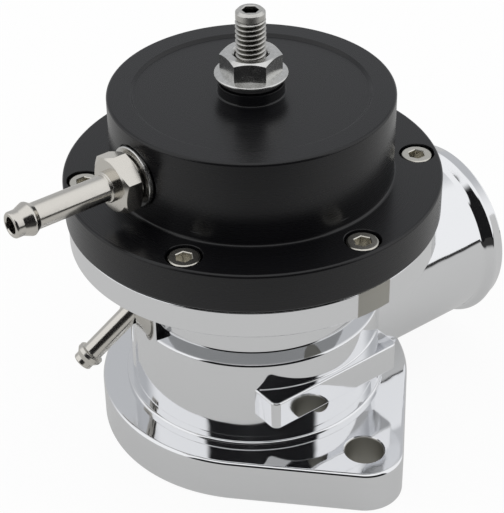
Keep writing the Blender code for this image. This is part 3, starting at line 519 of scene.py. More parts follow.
def roughen(tree, height, distance):
    """Bump the shader's normal by a height from 0 to 1, scaled to a distance in metres."""
    bump = tree.node("Bump", {"Height": height, "Distance": distance, "Strength": 1.0}, output="Normal")
    tree.feed(tree.shader.inputs["Normal"], bump)


def fade(tree, value, start, end):
    """0 before the start and 1 past the end, with a smooth step between them."""
    return tree.node("MapRange", {"Value": value, "From Min": start, "From Max": end},
                     interpolation_type="SMOOTHSTEP")


def tinted(tree, amount, first, second):
    """A mix of two colours, from the first at 0 to the second at 1."""
    return tree.node("Mix", {"Factor": amount, 6: first, 7: second}, output=2, data_type="RGBA")


def coordinates(tree, place):
    """The X, Y and Z of a place."""
    x = tree.node("SeparateXYZ", {"Vector": place})
    return x, *(Wire(tree, x.socket.node.outputs[name]) for name in "YZ")


CHROME = (0.84, 0.845, 0.855)
SHADED_LEDGE_CHROME = (0.44, 0.45, 0.465)     # on the ledge under the flange: painted shade
DRILLED_AND_SHADED = (0.46, 0.45, 0.41)
LEDGE_TOP_Z = RELIEF_Z + RELIEF_RISE

plating = finish("mirror_plating", CHROME, 1.0, 0.05)
smears = noise(plating, 90.0, 3.0)
x, y, z = coordinates(plating, plating.place)
hole_y = y.maths("ABSOLUTE", y) - BOLT_Y
# Inside the bolt holes the plating is rougher, which is real, and its colour darker and warmer, which is
# painted shade in the holes.
drilled_and_shaded = fade(plating, (x * x + hole_y * hole_y) ** 0.5, BOLT_HOLE_R + HOLE_CHAMFER, BOLT_HOLE_R)
# Painted shade: the plating's colour is made darker on the ledge in the relief under the flange, where
# shade falls.
inward = fade(plating, (x * x + y * y) ** 0.5, BODY_R - 0.1 * MM, BODY_R - 0.5 * MM)
above = fade(plating, z, RELIEF_Z - 0.7 * MM, RELIEF_Z - 0.1 * MM)
below = fade(plating, z, LEDGE_TOP_Z + 0.2 * MM, LEDGE_TOP_Z - 0.2 * MM)
ledge_shaded = tinted(plating, inward * above * below, CHROME, SHADED_LEDGE_CHROME)
plating.feed(plating.shader.inputs["Base Color"], tinted(plating, drilled_and_shaded, ledge_shaded, DRILLED_AND_SHADED))
plating.feed(plating.shader.inputs["Roughness"], 0.035 + smears ** 3.0 * 0.16 + drilled_and_shaded * 0.4)
roughen(plating, noise(plating, 160.0, 1.0), 0.045 * MM)
shown(body, plating, "housing", "body_casting")

# Guide bush and stem seal
# A turned bronze bush in the boss over the valve guides the stem, with a rubber lip seal above
# it. Both are pressed into bores in the body.
STEM_BORE_R = 3.3 * MM
SEAL_ROUND = 0.5 * MM

bush_low, bush_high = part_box("guide_bush")
seal_low, seal_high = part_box("stem_seal")
bush = turned("guide_bush_turned", [
    (STEM_BORE_R, bush_low.z, EDGE_BREAK), (bush_high.x, bush_low.z, EDGE_BREAK),
    (bush_high.x, bush_high.z, EDGE_BREAK), (STEM_BORE_R, bush_high.z, EDGE_BREAK),
], COARSE, closed=True)
lip_seal = turned("stem_seal_ring", [
    (STEM_BORE_R, seal_low.z, EDGE_BREAK), (seal_high.x, seal_low.z, SEAL_ROUND),
    (seal_high.x, seal_high.z, SEAL_ROUND), (STEM_BORE_R, seal_high.z, EDGE_BREAK),
], COARSE, closed=True)


def rings(tree, pitch):
    """Fine turning marks: noise that runs round the Z axis, a pitch apart along the radius and Z."""
    x, y, z = coordinates(tree, tree.place)
    radius = (x * x + y * y) ** 0.5
    flat = tree.node("CombineXYZ", {"X": radius, "Y": z, "Z": 0.0})
    return noise(tree, 1.0 / pitch, 2.0, flat)


bronze = finish("turned_bronze", (0.62, 0.42, 0.20), 1.0, 0.35)
roughen(bronze, rings(bronze, 0.3 * MM), 0.01 * MM)
rubber = finish("black_rubber", (0.025, 0.025, 0.026), 0.0, 0.6)
bloom = noise(rubber, 700.0, 4.0)
rubber.feed(rubber.shader.inputs["Roughness"], 0.5 + bloom * 0.25)
roughen(rubber, bloom, 0.02 * MM)
shown(bush, bronze, "housing", "guide_bush")
shown(lip_seal, rubber, "housing", "stem_seal")

# Valve
# A turned aluminium disc with a rubber ring in its groove shuts the inlet. It sits on a ground
# steel stem, which carries the diaphragm's two plates at the top, and a nut holds each end.
STEM_R = 3.0 * MM
STEM_END_R = 2.2 * MM
STEM_COLLAR_R = 4.2 * MM
STEM_COLLAR_H = 1.5 * MM
STEM_SHOULDER_Z = 45.4 * MM
STEM_CHAMFER = 0.3 * MM
DISC_R = 16.8 * MM
DISC_T = 4.5 * MM
DISC_HUB_R = 6.0 * MM
DISC_HUB_FOOT_R = 9.0 * MM
DISC_ROUND = 0.5 * MM
HUB_ROUND = 1.0 * MM
SEAL_RING_IN_R = 12.6 * MM
GROOVE_IN_R = 12.3 * MM
GROOVE_OUT_R = 16.2 * MM
GROOVE_DEPTH = 2.1 * MM
PLATE_BORE_R = 2.5 * MM
PLATE_ROUND = 0.6 * MM
PLATE_HUB_R = 10.0 * MM
PLATE_HUB_H = 1.6 * MM
NUT_FLATS = 8.0 * MM
NUT_EDGE = 0.12 * MM
NUT_BORE_CHAMFER = 0.5 * MM
CROWN_INSET = 0.3 * MM
CROWN_REACH = 0.75        # of the width across flats, which is past the corners
CROWN_SLOPE = math.tan(math.radians(30.0))

stem_low, stem_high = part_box("valve_stem")
head_low, head_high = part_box("valve_head")
ring_low, ring_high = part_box("valve_seal")
collar_z = head_high.z + CLEARANCE
stem = turned("valve_stem_ground", [
    (STEM_END_R - STEM_CHAMFER, stem_low.z), (STEM_END_R, stem_low.z + STEM_CHAMFER),
    (STEM_END_R, collar_z), (STEM_COLLAR_R, collar_z, EDGE_BREAK),
    (STEM_COLLAR_R, collar_z + STEM_COLLAR_H, EDGE_BREAK), (STEM_R, collar_z + STEM_COLLAR_H, EDGE_BREAK),
    (STEM_R, STEM_SHOULDER_Z, EDGE_BREAK), (STEM_END_R, STEM_SHOULDER_Z),
    (STEM_END_R, stem_high.z - STEM_CHAMFER), (STEM_END_R - STEM_CHAMFER, stem_high.z),
], COARSE)
disc = turned("valve_disc", [
    (PLATE_BORE_R, head_low.z), (GROOVE_IN_R, head_low.z, EDGE_BREAK),
    (GROOVE_IN_R, head_low.z + GROOVE_DEPTH), (GROOVE_OUT_R, head_low.z + GROOVE_DEPTH),
    (GROOVE_OUT_R, head_low.z), (DISC_R, head_low.z, EDGE_BREAK),
    (DISC_R, head_low.z + DISC_T, DISC_ROUND), (DISC_HUB_FOOT_R, head_low.z + DISC_T, HUB_ROUND),
    (DISC_HUB_R, head_high.z, EDGE_BREAK), (PLATE_BORE_R, head_high.z),
], closed=True)
seal_ring = turned("valve_seal_ring", [
    (SEAL_RING_IN_R, ring_low.z, EDGE_BREAK), (ring_high.x, ring_low.z, EDGE_BREAK),
    (ring_high.x, ring_high.z), (SEAL_RING_IN_R, ring_high.z),
], closed=True)


def plate(name, node, hub_h):
    """Turned profile of a diaphragm plate, with a hub for the spring where hub_h isn't zero."""
    low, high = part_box(node)
    top = high.z - hub_h
    lower_round, upper_round = (0.0, PLATE_ROUND) if hub_h else (PLATE_ROUND, 0.0)
    corners = [(PLATE_BORE_R, low.z), (high.x, low.z, lower_round), (high.x, top, upper_round)]
    if hub_h:
        corners += [(PLATE_HUB_R, top, EDGE_BREAK), (PLATE_HUB_R, high.z, EDGE_BREAK)]
    return turned(name, corners + [(PLATE_BORE_R, high.z if hub_h else top)], closed=True)


def hexagon(across_flats, radius, start=0.0):
    """The outline of a hexagon whose first corner lies at an angle from X."""
    reach = across_flats / math.sqrt(3.0)
    turns = [start + math.radians(60.0 * corner) for corner in range(6)]
    return outline([(reach * math.cos(turn), reach * math.sin(turn)) for turn in turns], radius, 6)


def hex_nut(name, bottom, top, across_flats, bore_r, start=0.0, both_ends=True, **placing):
    """A hexagon cut by a cone at its top, and at its bottom too, then bored."""
    nut = swept(name, [(0.0, bottom), (0.0, top)], *hexagon(across_flats, NUT_EDGE, start), **placing)
    crown_r = across_flats / 2.0 - CROWN_INSET
    reach = across_flats * CROWN_REACH
    drop = (reach - crown_r) * CROWN_SLOPE
    cone = [(crown_r, bottom), (reach, bottom + drop)] if both_ends else [(reach, bottom - PAST)]
    crown = turned("crown", cone + [(reach, top - drop), (crown_r, top)], COARSE, **placing)
    hole = turned("hole", [
        (bore_r, bottom - PAST), (bore_r, top - NUT_BORE_CHAMFER),
        (bore_r + NUT_BORE_CHAMFER + PAST, top + PAST),
    ], COARSE, **placing)
    return machined(nut, ("INTERSECT", crown), ("DIFFERENCE", hole))


alloy = finish("turned_aluminium", (0.70, 0.71, 0.72), 1.0, 0.3)
roughen(alloy, rings(alloy, 0.25 * MM), 0.012 * MM)
steel = finish("bright_steel", (0.62, 0.60, 0.56), 1.0, 0.24)
steel.feed(steel.shader.inputs["Roughness"], 0.2 + rings(steel, 0.12 * MM) * 0.14)
zinc = finish("zinc_plate", (0.58, 0.58, 0.56), 1.0, 0.3)
zinc_cloud = noise(zinc, 1100.0, 4.0)
zinc_tint = tinted(zinc, zinc_cloud, (0.54, 0.535, 0.51), (0.82, 0.82, 0.81))
zinc.feed(zinc.shader.inputs["Base Color"], zinc_tint)
zinc.feed(zinc.shader.inputs["Roughness"], 0.14 + zinc_cloud * 0.2)
roughen(zinc, zinc_cloud, 0.015 * MM)
shown(stem, steel, "valve", "valve_stem")
shown(disc, alloy, "valve", "valve_head")
shown(seal_ring, rubber, "valve", "valve_seal")
for node, hub_h in (("lower_plate", 0.0), ("upper_plate", PLATE_HUB_H)):
    shown(plate(node + "_turned", node, hub_h), alloy, "valve", node)
for node in ("head_nut", "plate_nut"):
    nut_low, nut_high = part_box(node)
    nut = hex_nut(node + "_hexagon", nut_low.z, nut_high.z, NUT_FLATS, PLATE_BORE_R)
    shown(nut, zinc, "valve", node)

# Diaphragm
# Moulded rubber with one rolled arch, so that the middle can lift. Its rim is clamped between the
# body and the cap, and the valve's two plates grip the middle.
dressed(rubber, "diaphragm")

# Spring and its upper plate
# A coil of polished spring wire, its end turns wound flat, presses the valve shut. The zinc
# plated steel plate on top of it takes the adjusting screw's tip in a dimple.
WIRE_R = 1.0 * MM
COIL_TURNS = 4.0
END_TURNS = 0.75
END_SPREAD = 0.3 * MM     # how much wider the end turns are wound
TURN_STEPS = 72
WIRE_STEPS = 20
SPRING_PLATE_T = 1.8 * MM
DIMPLE_R = 2.2 * MM
DIMPLE_DEPTH = 0.9 * MM

coil_low, coil_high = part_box("spring")
support_low, support_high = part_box("spring_plate")
coil_r = coil_high.x - WIRE_R - END_SPREAD


def coil(name):
    """A wire round a helix whose first and last turns stay level.

    centre(u) = (coil_r + spread(u)) outward(u) + rise(u) z. Over the end turns the rise is held
    level and the wire is spread a little wider.
    point(u, v) = centre(u) + wire_r (cos v outward(u) + sin v z).
    """
    turn = np.linspace(0.0, 2.0 * math.pi * COIL_TURNS, int(COIL_TURNS * TURN_STEPS) + 1)
    share = (turn / (2.0 * math.pi) - END_TURNS) / (COIL_TURNS - 2.0 * END_TURNS)
    share = np.clip(share, 0.0, 1.0)
    rise = coil_low.z + WIRE_R + (coil_high.z - coil_low.z - 2.0 * WIRE_R) * share
    spread = np.where((share > 0.0) & (share < 1.0), 0.0, END_SPREAD)
    outward = np.stack([np.cos(turn), np.sin(turn), np.zeros_like(turn)], -1)
    angle = np.arange(WIRE_STEPS) * (2.0 * math.pi / WIRE_STEPS)
    up = np.array([0.0, 0.0, 1.0])
    spokes = np.cos(angle)[None, :, None] * outward[:, None] + np.sin(angle)[None, :, None] * up
    centre = outward * (coil_r + spread)[:, None] + rise[:, None] * up
    rows = centre[:, None] + WIRE_R * spokes
    end = np.array([0.0, 1.0, 0.0])
    return skinned(name, rows[:, ::-1], spokes[:-1, ::-1], spokes[1:, ::-1], end)


wire = finish("spring_wire", (0.58, 0.57, 0.55), 1.0, 0.2)
roughen(wire, noise(wire, 1500.0, 2.0), 0.008 * MM)
spring = shown(coil("spring_coil"), wire, "housing", "spring")
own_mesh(spring)
under_z = support_high.z - SPRING_PLATE_T
support = turned("spring_plate_turned", [
    (PLATE_HUB_R, support_low.z, EDGE_BREAK), (PLATE_HUB_R, under_z),
    (support_high.x, under_z, EDGE_BREAK), (support_high.x, support_high.z, EDGE_BREAK),
    (DIMPLE_R, support_high.z, EDGE_BREAK), (DIMPLE_R, support_high.z - DIMPLE_DEPTH),
])
shown(support, zinc, "spring_plate", "spring_plate")

# Cap
# Turned from aluminium bar and bead blasted, then anodised black. Its flange takes six screws,
# the sunk middle of its top carries the boss of the adjusting screw.
CAP_R = 28.5 * MM
CAP_FLANGE_T = 8.5 * MM
CAP_ROUND = 0.6 * MM
CAP_BAND = 4.7 * MM
CAP_SINK = 0.55 * MM
CAP_TOP = 26.4 * MM
CAP_ROOF = 4.0 * MM
CAP_INNER_ROUND = 1.8 * MM
BOSS_R = 6.6 * MM
BOSS_ROOT = 0.4 * MM
BOSS_EDGE = 0.1 * MM
ADJUSTER_BORE_R = 3.3 * MM
POCKET_R = 3.6 * MM
POCKET_Z = 55.75 * MM
POCKET_CHAMFER = 0.1 * MM
NIPPLE_Z = 69.15 * MM
SPOT_R = 6.4 * MM
SPOT_DEPTH = 0.75 * MM
NIPPLE_TAP_R = 3.7 * MM

cap_low, cap_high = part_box("cap")
flange_z = cap_low.z + CAP_FLANGE_T
top_z = cap_low.z + CAP_TOP
sink_z = top_z - CAP_SINK
roof_z = top_z - CAP_ROOF
cap = turned("cap_turned", [
    (CAP_BORE_R, cap_low.z), (cap_high.x, cap_low.z, CAP_ROUND), (cap_high.x, flange_z, CAP_ROUND),
    (CAP_R, flange_z, CAP_ROUND), (CAP_R, top_z, CAP_ROUND), (CAP_R - CAP_BAND, top_z, EDGE_BREAK),
    (CAP_R - CAP_BAND - CAP_SINK, sink_z, EDGE_BREAK), (BOSS_R, sink_z, BOSS_ROOT),
    (BOSS_R, cap_high.z, BOSS_EDGE), (ADJUSTER_BORE_R, cap_high.z, EDGE_BREAK),
    (ADJUSTER_BORE_R, roof_z), (CAP_BORE_R, roof_z, CAP_INNER_ROUND),
], closed=True)


def along_minus_x(height):
    """Placing for a piece turned about an axis that runs along -X at a height."""
    return {"axes": [[0, 0, -1], [0, 1, 0], [1, 0, 0]], "origin": (0.0, 0.0, height)}


pockets = []
for number in range(6):
    pockets.append(("DIFFERENCE", turned(f"pocket_{number}", [
        (TAPPED_R, cap_low.z - PAST), (TAPPED_R, POCKET_Z), (POCKET_R, POCKET_Z),
        (POCKET_R, flange_z - POCKET_CHAMFER), (POCKET_R + PAST, flange_z - POCKET_CHAMFER + PAST),
    ], SCREW_STEPS, origin=screw_centre(number))))
port = turned("nipple_port", [
    (NIPPLE_TAP_R, CAP_BORE_R - PAST), (NIPPLE_TAP_R, CAP_R - SPOT_DEPTH),
    (SPOT_R, CAP_R - SPOT_DEPTH), (SPOT_R, CAP_R + PAST),
], COARSE, **along_minus_x(NIPPLE_Z))
machined(cap, *pockets, ("DIFFERENCE", port))
anodised = finish("black_anodised", (0.004, 0.004, 0.0048), 0.0, 0.27, specular_ior_level=0.45)
anodised.feed(anodised.shader.inputs["Roughness"], 0.26 + rings(anodised, 0.2 * MM) * 0.03)
roughen(anodised, noise(anodised, 4000.0), 0.004 * MM)
shown(cap, anodised, "housing", "cap")

# Cap screws
# Six stainless socket head screws, cold headed with a plain turned head and a 3 mm key socket.
# They clamp the cap and the diaphragm's rim to the body.
SCREW_HEAD_R = 3.2 * MM
SCREW_R = 1.9 * MM
SCREW_CHAMFER = 0.3 * MM
HEAD_H = 4.0 * MM
HEAD_ROUND = 0.45 * MM
KEY_FLATS = 3.0 * MM
KEY_DEPTH = 2.2 * MM
KEY_EDGE = 0.06 * MM
KEY_CHAMFER = 0.15 * MM


def key_socket(top, start=0.0, **placing):
    """A cutter for a hexagon socket with a chamfered mouth, in a screw whose end is at a height."""
    mouth = top - KEY_CHAMFER
    return swept("key", [(0.0, top - KEY_DEPTH), (0.0, mouth), (PAST, mouth + PAST)],
                 *hexagon(KEY_FLATS, KEY_EDGE, start), **placing)


screw_steel = finish("screw_steel", (0.66, 0.64, 0.58), 1.0, 0.22)
grain = noise(screw_steel, 1300.0, 3.0)
screw_steel.feed(screw_steel.shader.inputs["Roughness"], 0.16 + grain * 0.16)
for number in range(6):
    centre = screw_centre(number)
    node = f"cap_screw_{number + 1}"
    screw_low, screw_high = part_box(node)
    screw = turned(node + "_headed", [
        (SCREW_R - SCREW_CHAMFER, screw_low.z), (SCREW_R, screw_low.z + SCREW_CHAMFER),
        (SCREW_R, screw_high.z - HEAD_H), (SCREW_HEAD_R, screw_high.z - HEAD_H, EDGE_BREAK),
        (SCREW_HEAD_R, screw_high.z, HEAD_ROUND), (SCREW_R, screw_high.z),
    ], SCREW_STEPS, origin=centre)
    machined(screw, ("DIFFERENCE", key_socket(screw_high.z, origin=centre)))
    shown(screw, screw_steel, "housing", node)

# Adjusting screw
# A stainless set screw, M6, with rolled threads and a 3 mm key socket in its top. It presses
# the spring plate down, and so sets how hard the valve is held shut.
THREAD_R = 3.0 * MM
THREAD_DEPTH = 0.55 * MM
PITCH = 1.0 * MM
THREAD_CREST = 0.16       # the share of the wave that is cut flat at a crest
THREAD_ROOT = 0.24        # the same at a root
TIP_R = 1.9 * MM
TIP_H = 1.0 * MM
TOP_CHAMFER = 0.6 * MM
TOP_PLAIN = 2.3 * MM      # the screw's top has no thread, and is a little thinner
TOP_PLAIN_R = 2.92 * MM
KEY_TURN = math.radians(22.6)
ROWS_A_PITCH = 16

adjuster_low, adjuster_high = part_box("adjusting_screw")


def threaded(name, bottom, top):
    """A screw thread, cut back by a cone at its top and by the plain tip at its bottom.

    The wave runs from 0 at a crest to 1 at a root, over z / pitch - angle / full turn.
    radius(u, v) = the least of crest - depth wave, the top chamfer and the tip's cone. The wave
    fades out where the plain top starts.
    """
    height = np.linspace(bottom, top, int((top - bottom) / PITCH * ROWS_A_PITCH) + 1)
    around = circle(COARSE)
    angle = np.arange(COARSE) / COARSE
    phase = (height[:, None] - bottom) / PITCH - angle[None, :]
    wave = np.abs(2.0 * (phase % 1.0) - 1.0)
    cut = np.clip((wave - THREAD_CREST) / (1.0 - THREAD_CREST - THREAD_ROOT), 0.0, 1.0)
    plain = np.clip((height - top + TOP_PLAIN) / (PITCH / 2.0), 0.0, 1.0)[:, None]
    radius = (THREAD_R - THREAD_DEPTH * cut) * (1.0 - plain) + TOP_PLAIN_R * plain
    chamfer = THREAD_R - TOP_CHAMFER + (top - height)
    cone = np.maximum(TIP_R, TIP_R + (height - bottom - TIP_H))
    radius = np.minimum(radius, np.minimum(chamfer, cone)[:, None])
    rows = np.zeros((len(height), COARSE, 3))
    rows[..., :2] = radius[..., None] * around
    rows[..., 2] = height[:, None]
    along = np.roll(rows, -1, 1) - np.roll(rows, 1, 1)
    normals = np.cross(along, np.gradient(rows, axis=0))
    normals /= np.linalg.norm(normals, axis=2, keepdims=True)
    return skinned(name, rows, normals[:-1], normals[1:], np.array([0.0, 0.0, 1.0]))


rolled = finish("rolled_steel", (0.55, 0.54, 0.50), 1.0, 0.24)
x, y, z = coordinates(rolled, rolled.place)
reach = (x * x + y * y) ** 0.5
# Painted shade: the thread's roots, below the top's chamfer, are painted near black, where shade falls in
# the grooves.
in_root = fade(rolled, reach, THREAD_R - 0.1 * MM, THREAD_R - THREAD_DEPTH)
below_end = fade(rolled, z, adjuster_high.z - KEY_CHAMFER, adjuster_high.z - MM)
wear = noise(rolled, 1500.0, 3.0)
worn_tone = tinted(rolled, wear, (0.50, 0.49, 0.46), (0.74, 0.73, 0.70))
root_shaded = tinted(rolled, in_root * below_end, worn_tone, (0.09, 0.088, 0.075))
rolled.feed(rolled.shader.inputs["Base Color"], root_shaded)
rolled.feed(rolled.shader.inputs["Roughness"], 0.2 + wear * 0.18)
adjuster = threaded("adjusting_screw_threaded", adjuster_low.z, adjuster_high.z)
machined(adjuster, ("DIFFERENCE", key_socket(adjuster_high.z, KEY_TURN)))
shown(adjuster, rolled, "adjusting_screw", "adjusting_screw")

# Lock nut and its washer
# A zinc plated flange nut, pressed from steel, locks the adjusting screw. The rubber washer
# under it seals the screw's thread against the cap.
LOCK_NUT_FLATS = 10.7 * MM
LOCK_NUT_TURN = math.radians(20.0)
NUT_FLANGE_R = 7.3 * MM
NUT_FLANGE_EDGE = 0.5 * MM
NUT_FLANGE_SLOPE = 0.4 * MM
NUT_FLANGE_FOOT = 0.15 * MM
NUT_FLANGE_RIM = 0.3 * MM
NUT_FLANGE_ROOT = 0.4 * MM
WASHER_R = 6.3 * MM

washer_low, washer_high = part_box("seal_washer")
washer = turned("seal_washer_ring", [
    (ADJUSTER_BORE_R, washer_low.z, EDGE_BREAK), (WASHER_R, washer_low.z, EDGE_BREAK),
    (WASHER_R, washer_high.z, EDGE_BREAK), (ADJUSTER_BORE_R, washer_high.z, EDGE_BREAK),
], COARSE, closed=True)
shown(washer, rubber, "seal_washer", "seal_washer")
nut_low, nut_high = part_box("lock_nut")
edge_z = nut_low.z + NUT_FLANGE_EDGE
slope_z = edge_z + NUT_FLANGE_SLOPE
inside_z = slope_z + 0.1 * MM
lock_nut = hex_nut("lock_nut_hexagon", edge_z, nut_high.z, LOCK_NUT_FLATS, ADJUSTER_BORE_R,
                   LOCK_NUT_TURN, both_ends=False)
nut_flange = turned("nut_flange", [
    (ADJUSTER_BORE_R, nut_low.z), (NUT_FLANGE_R, nut_low.z, NUT_FLANGE_FOOT),
    (NUT_FLANGE_R, edge_z, NUT_FLANGE_RIM), (LOCK_NUT_FLATS / 2.0, slope_z, NUT_FLANGE_ROOT),
    (LOCK_NUT_FLATS / 2.0 - 0.5 * MM, inside_z), (ADJUSTER_BORE_R, inside_z),
], closed=True)
machined(lock_nut, ("UNION", nut_flange))
shown(lock_nut, zinc, "lock_nut", "lock_nut")

# Upper nipple
# A turned brass hose nipple, nickel plated, screwed into the cap's wall by its hexagon, over a
# plated steel washer. The vacuum hose pushes on over the bead.
NIPPLE_TAP_START = 24.1 * MM
NIPPLE_THREAD_R = 3.4 * MM
NIPPLE_WASHER_R = 6.1 * MM
NIPPLE_WASHER_T = 1.0 * MM
NIPPLE_FOOT_R = 4.6 * MM
NIPPLE_FOOT_START = 29.35 * MM
NIPPLE_FOOT_ROUND = 0.1 * MM
NIPPLE_FOOT_LAP = 0.3 * MM            # how far the foot reaches into the hexagon
NIPPLE_HEX_START = 29.95 * MM
NIPPLE_HEX_END = 33.95 * MM
NIPPLE_HEX_TURN = math.radians(-8.0)
NIPPLE_FLATS = 11.0 * MM
NIPPLE_COLLAR_R = 3.1 * MM
NIPPLE_COLLAR_END = 35.15 * MM
NIPPLE_COLLAR_ROUND = 0.3 * MM
NIPPLE_R = 2.6 * MM
NIPPLE_BORE_R = 1.65 * MM
NIPPLE_CHAMFER = 0.3 * MM
NIPPLE_LIP = 0.2 * MM
NIPPLE_BEAD_R = 3.4 * MM
NIPPLE_BEAD_START = 50.7 * MM
NIPPLE_BEAD_CREST = 51.9 * MM
NIPPLE_BEAD_END = 53.9 * MM
NIPPLE_CREST_ROUND = 0.7 * MM
NIPPLE_DIP_ROUND = 0.6 * MM
NIPPLE_TIP_ROUND = 0.5 * MM

nipple_low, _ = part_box("upper_nipple")
nipple_end = -nipple_low.x
foot_end = NIPPLE_HEX_START + NIPPLE_FOOT_LAP
laid = along_minus_x(NIPPLE_Z)
stalk = turned("upper_nipple_turned", [
    (NIPPLE_THREAD_R - NIPPLE_CHAMFER, NIPPLE_TAP_START),
    (NIPPLE_THREAD_R, NIPPLE_TAP_START + NIPPLE_CHAMFER), (NIPPLE_THREAD_R, NIPPLE_FOOT_START),
    (NIPPLE_FOOT_R, NIPPLE_FOOT_START, NIPPLE_FOOT_ROUND),
    (NIPPLE_FOOT_R, foot_end), (NIPPLE_COLLAR_R, foot_end),
    (NIPPLE_COLLAR_R, NIPPLE_COLLAR_END, NIPPLE_COLLAR_ROUND),
    (NIPPLE_R, NIPPLE_COLLAR_END, NIPPLE_COLLAR_ROUND), (NIPPLE_R, NIPPLE_BEAD_START, EDGE_BREAK),
    (NIPPLE_BEAD_R, NIPPLE_BEAD_CREST, NIPPLE_CREST_ROUND),
    (NIPPLE_R, NIPPLE_BEAD_END, NIPPLE_DIP_ROUND), (NIPPLE_R, nipple_end, NIPPLE_TIP_ROUND),
    (NIPPLE_BORE_R - NIPPLE_CHAMFER, nipple_end),
], COARSE, **laid)
nipple_hexagon = hex_nut("nipple_hexagon", NIPPLE_HEX_START, NIPPLE_HEX_END, NIPPLE_FLATS, NIPPLE_BORE_R,
                         NIPPLE_HEX_TURN, **laid)
nipple_bore = turned("nipple_bore", [
    (NIPPLE_BORE_R, NIPPLE_TAP_START - PAST), (NIPPLE_BORE_R, nipple_end - NIPPLE_LIP),
    (NIPPLE_BORE_R + PAST, nipple_end - NIPPLE_LIP + PAST),
], COARSE, **laid)
machined(stalk, ("UNION", nipple_hexagon), ("DIFFERENCE", nipple_bore))
nickel = finish("nickel_plate", (0.68, 0.655, 0.605), 1.0, 0.16)
nickel_cloud = noise(nickel, 500.0, 3.0)
nickel.feed(nickel.shader.inputs["Roughness"], 0.1 + nickel_cloud * 0.14)
shown(stalk, nickel, "housing", "upper_nipple")
ring_start = CAP_R - SPOT_DEPTH + CLEARANCE
ring_end = ring_start + NIPPLE_WASHER_T
nipple_ring = turned("nipple_washer_ring", [
    (NIPPLE_TAP_R, ring_start, EDGE_BREAK), (NIPPLE_WASHER_R, ring_start, EDGE_BREAK),
    (NIPPLE_WASHER_R, ring_end, EDGE_BREAK), (NIPPLE_TAP_R, ring_end, EDGE_BREAK),
], COARSE, closed=True, **laid)
shown(nipple_ring, zinc, "housing", "nipple_washer")

# Lower nipple
# A plain turned brass tube, nickel plated, with a bead near its end. It is pressed into the
# slanting port in the body's wall.
LOWER_R = 2.15 * MM
LOWER_BORE_R = 1.3 * MM
LOWER_BEAD_R = 2.9 * MM
LOWER_HOLD = 6.0 * MM
LOWER_REACH = 15.7 * MM
LOWER_BEAD_START = 12.4 * MM
LOWER_BEAD_L = 2.0 * MM
LOWER_BEAD_ROUND = 0.3 * MM
LOWER_CREST_ROUND = 0.4 * MM
LOWER_TIP_ROUND = 0.4 * MM
LOWER_MOUTH_ROUND = 0.15 * MM

tail = turned("lower_nipple_turned", [
    (LOWER_BORE_R, -LOWER_HOLD), (LOWER_R, -LOWER_HOLD, EDGE_BREAK),
    (LOWER_R, LOWER_BEAD_START, EDGE_BREAK), (LOWER_BEAD_R, LOWER_BEAD_START, LOWER_BEAD_ROUND),
    (LOWER_BEAD_R, LOWER_BEAD_START + LOWER_BEAD_L / 2.0, LOWER_CREST_ROUND),
    (LOWER_R, LOWER_BEAD_START + LOWER_BEAD_L, LOWER_BEAD_ROUND),
    (LOWER_R, LOWER_REACH, LOWER_TIP_ROUND), (LOWER_BORE_R, LOWER_REACH, LOWER_MOUTH_ROUND),
], COARSE, closed=True, **port_placing())
shown(tail, nickel, "housing", "lower_nipple")

# Floor, light and camera
# A white table and a white backdrop under soft light, seen as the photograph sees it. What the
# bright metal mirrors is darker: the room round the camera, the table past the lit part, and the
# low part of the backdrop behind the object.
VIEW_TARGET = (-0.27 * MM, 0.21 * MM, 38.07 * MM)
VIEW_DISTANCE = 339.3 * MM
VIEW_ELEVATION = 0.6082               # radians above the table
VIEW_TOWARDS = (-0.6074, -0.7944)     # from the valve's axis towards the camera, seen from above
VIEW_ROLL = -0.0141                   # radians
LENS = 113.36                         # millimetres, as Blender counts a lens, and so is the sensor
SENSOR = 36.0

camera = bpy.data.objects.new("camera", bpy.data.cameras.new("camera"))
bpy.context.scene.collection.objects.link(camera)
bpy.context.scene.camera = camera
camera.data.lens = LENS
camera.data.sensor_width = SENSOR
camera.data.clip_start = 10.0 * MM
camera.data.clip_end = 20.0
back = Vector((VIEW_TOWARDS[0] * math.cos(VIEW_ELEVATION), VIEW_TOWARDS[1] * math.cos(VIEW_ELEVATION),
               math.sin(VIEW_ELEVATION)))
camera.rotation_mode = "QUATERNION"
camera.location = Vector(VIEW_TARGET) + back * VIEW_DISTANCE
rolled_view = Matrix.Rotation(VIEW_ROLL, 3, "Z").to_quaternion()
camera.rotation_quaternion = (-back).to_track_quat("-Z", "Y") @ rolled_view

WHITE = (1.0, 1.0, 1.0)
FLOOR_SIZE = 6.0
FLOOR_DROP = 0.05 * MM
SHEET_GLOSS = (0.46, 0.46, 0.455)     # how bright metal mirrors the table near the object
FAR_GLOSS = (0.02, 0.02, 0.02)        # and far in front of it, where its light ends
SKY_GLOSS = (0.98, 0.985, 1.0)        # the white tent over it
BACK_GLOSS = (0.53, 0.54, 0.56)       # the low part of the backdrop
ROOM_GLOSS = (0.01, 0.01, 0.011)      # the room round the camera
CAMERA_LIT = 0.92         # the share of the table's own light that the camera sees
GLOSSY_LIT = 0.7          # the same for a mirrored ray, and how much more it is far in front
FAR_LIT = 0.28
SHEET_END = 106.0 * MM    # past here the plating mirrors the dark room, not the white sheet
SHEET_FADE = 90.0 * MM
ROOM_MIDDLE = math.radians(238.4)
ROOM_HALF_WIDTH = math.radians(52.0)
ROOM_HEIGHT = math.radians(50.0)
ROOM_SOFT = math.radians(3.0)
BACK_HALF_WIDTH = math.radians(60.0)
BACK_HEIGHT = math.radians(54.0)
BACK_SOFT = math.radians(12.0)
table = bpy.data.meshes.new("table")
half = FLOOR_SIZE / 2.0
table_corners = [(-half, -half, 0), (half, -half, 0), (half, half, 0), (-half, half, 0)]
table.from_pydata(table_corners, [], [(0, 1, 2, 3)])
table_top = bpy.data.objects.new("table", table)
bpy.context.scene.collection.objects.link(table_top)
table_top.location.z = cad_low.z - FLOOR_DROP


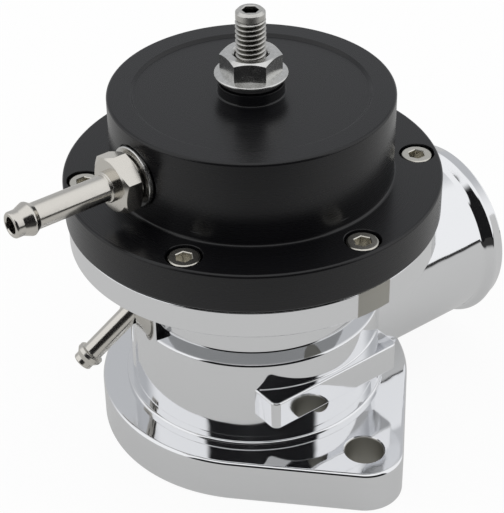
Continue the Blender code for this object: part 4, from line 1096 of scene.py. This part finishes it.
def ahead(tree, place):
    """How far a place lies on the side of the dark room."""
    room = (math.cos(ROOM_MIDDLE), math.sin(ROOM_MIDDLE), 0.0)
    return tree.node("VectorMath", {0: place, 1: room}, output="Value", operation="DOT_PRODUCT")


table_paint = finish("white_table", (0.9, 0.9, 0.9), 0.0, 0.6)
camera_ray = table_paint.node("LightPath", output="Is Camera Ray")
glossy_ray = table_paint.node("LightPath", output="Is Glossy Ray")
dark_front = fade(table_paint, ahead(table_paint, table_paint.place), SHEET_END, SHEET_END + SHEET_FADE)
sheet = tinted(table_paint, glossy_ray, WHITE, tinted(table_paint, dark_front, SHEET_GLOSS, FAR_GLOSS))
lit = table_paint.node("Emission", {"Color": sheet, "Strength": 1.0})
seen = camera_ray * CAMERA_LIT + glossy_ray * (GLOSSY_LIT + FAR_LIT * dark_front)
paint = Wire(table_paint, table_paint.shader.outputs[0])
mixed = table_paint.node("MixShader", {0: seen, 1: paint, 2: lit})
table_paint.feed(table_paint.nodes["Material Output"].inputs[0], mixed)
table.materials.append(table_paint.owner)

world = bpy.data.worlds.new("studio")
bpy.context.scene.world = world
sky = Tree(world)
heading = sky.node("TexCoord", output="Generated")
climb = coordinates(sky, heading)[2]
turn = ahead(sky, heading) / (1.0 - climb * climb) ** 0.5


def patch(cosine, half_width, height, soft):
    """1 in a part of the sky round the heading whose cosine is given, up to a height, with soft edges."""
    beside = fade(sky, cosine, math.cos(half_width + soft), math.cos(half_width - soft))
    under = fade(sky, climb, math.sin(height + soft), math.sin(height - soft))
    return beside * under


mirrored = sky.node("LightPath", output="Is Glossy Ray")
studio = tinted(sky, mirrored, WHITE, SKY_GLOSS)
backdrop = patch(turn * -1.0, BACK_HALF_WIDTH, BACK_HEIGHT, BACK_SOFT)
studio = tinted(sky, mirrored * backdrop, studio, BACK_GLOSS)
room = patch(turn, ROOM_HALF_WIDTH, ROOM_HEIGHT, ROOM_SOFT)
sky.feed(sky.nodes["Background"].inputs["Color"], tinted(sky, mirrored * room, studio, ROOM_GLOSS))
sky.feed(sky.nodes["Background"].inputs["Strength"], 1.0)

bpy.context.scene.view_settings.view_transform = "Standard"
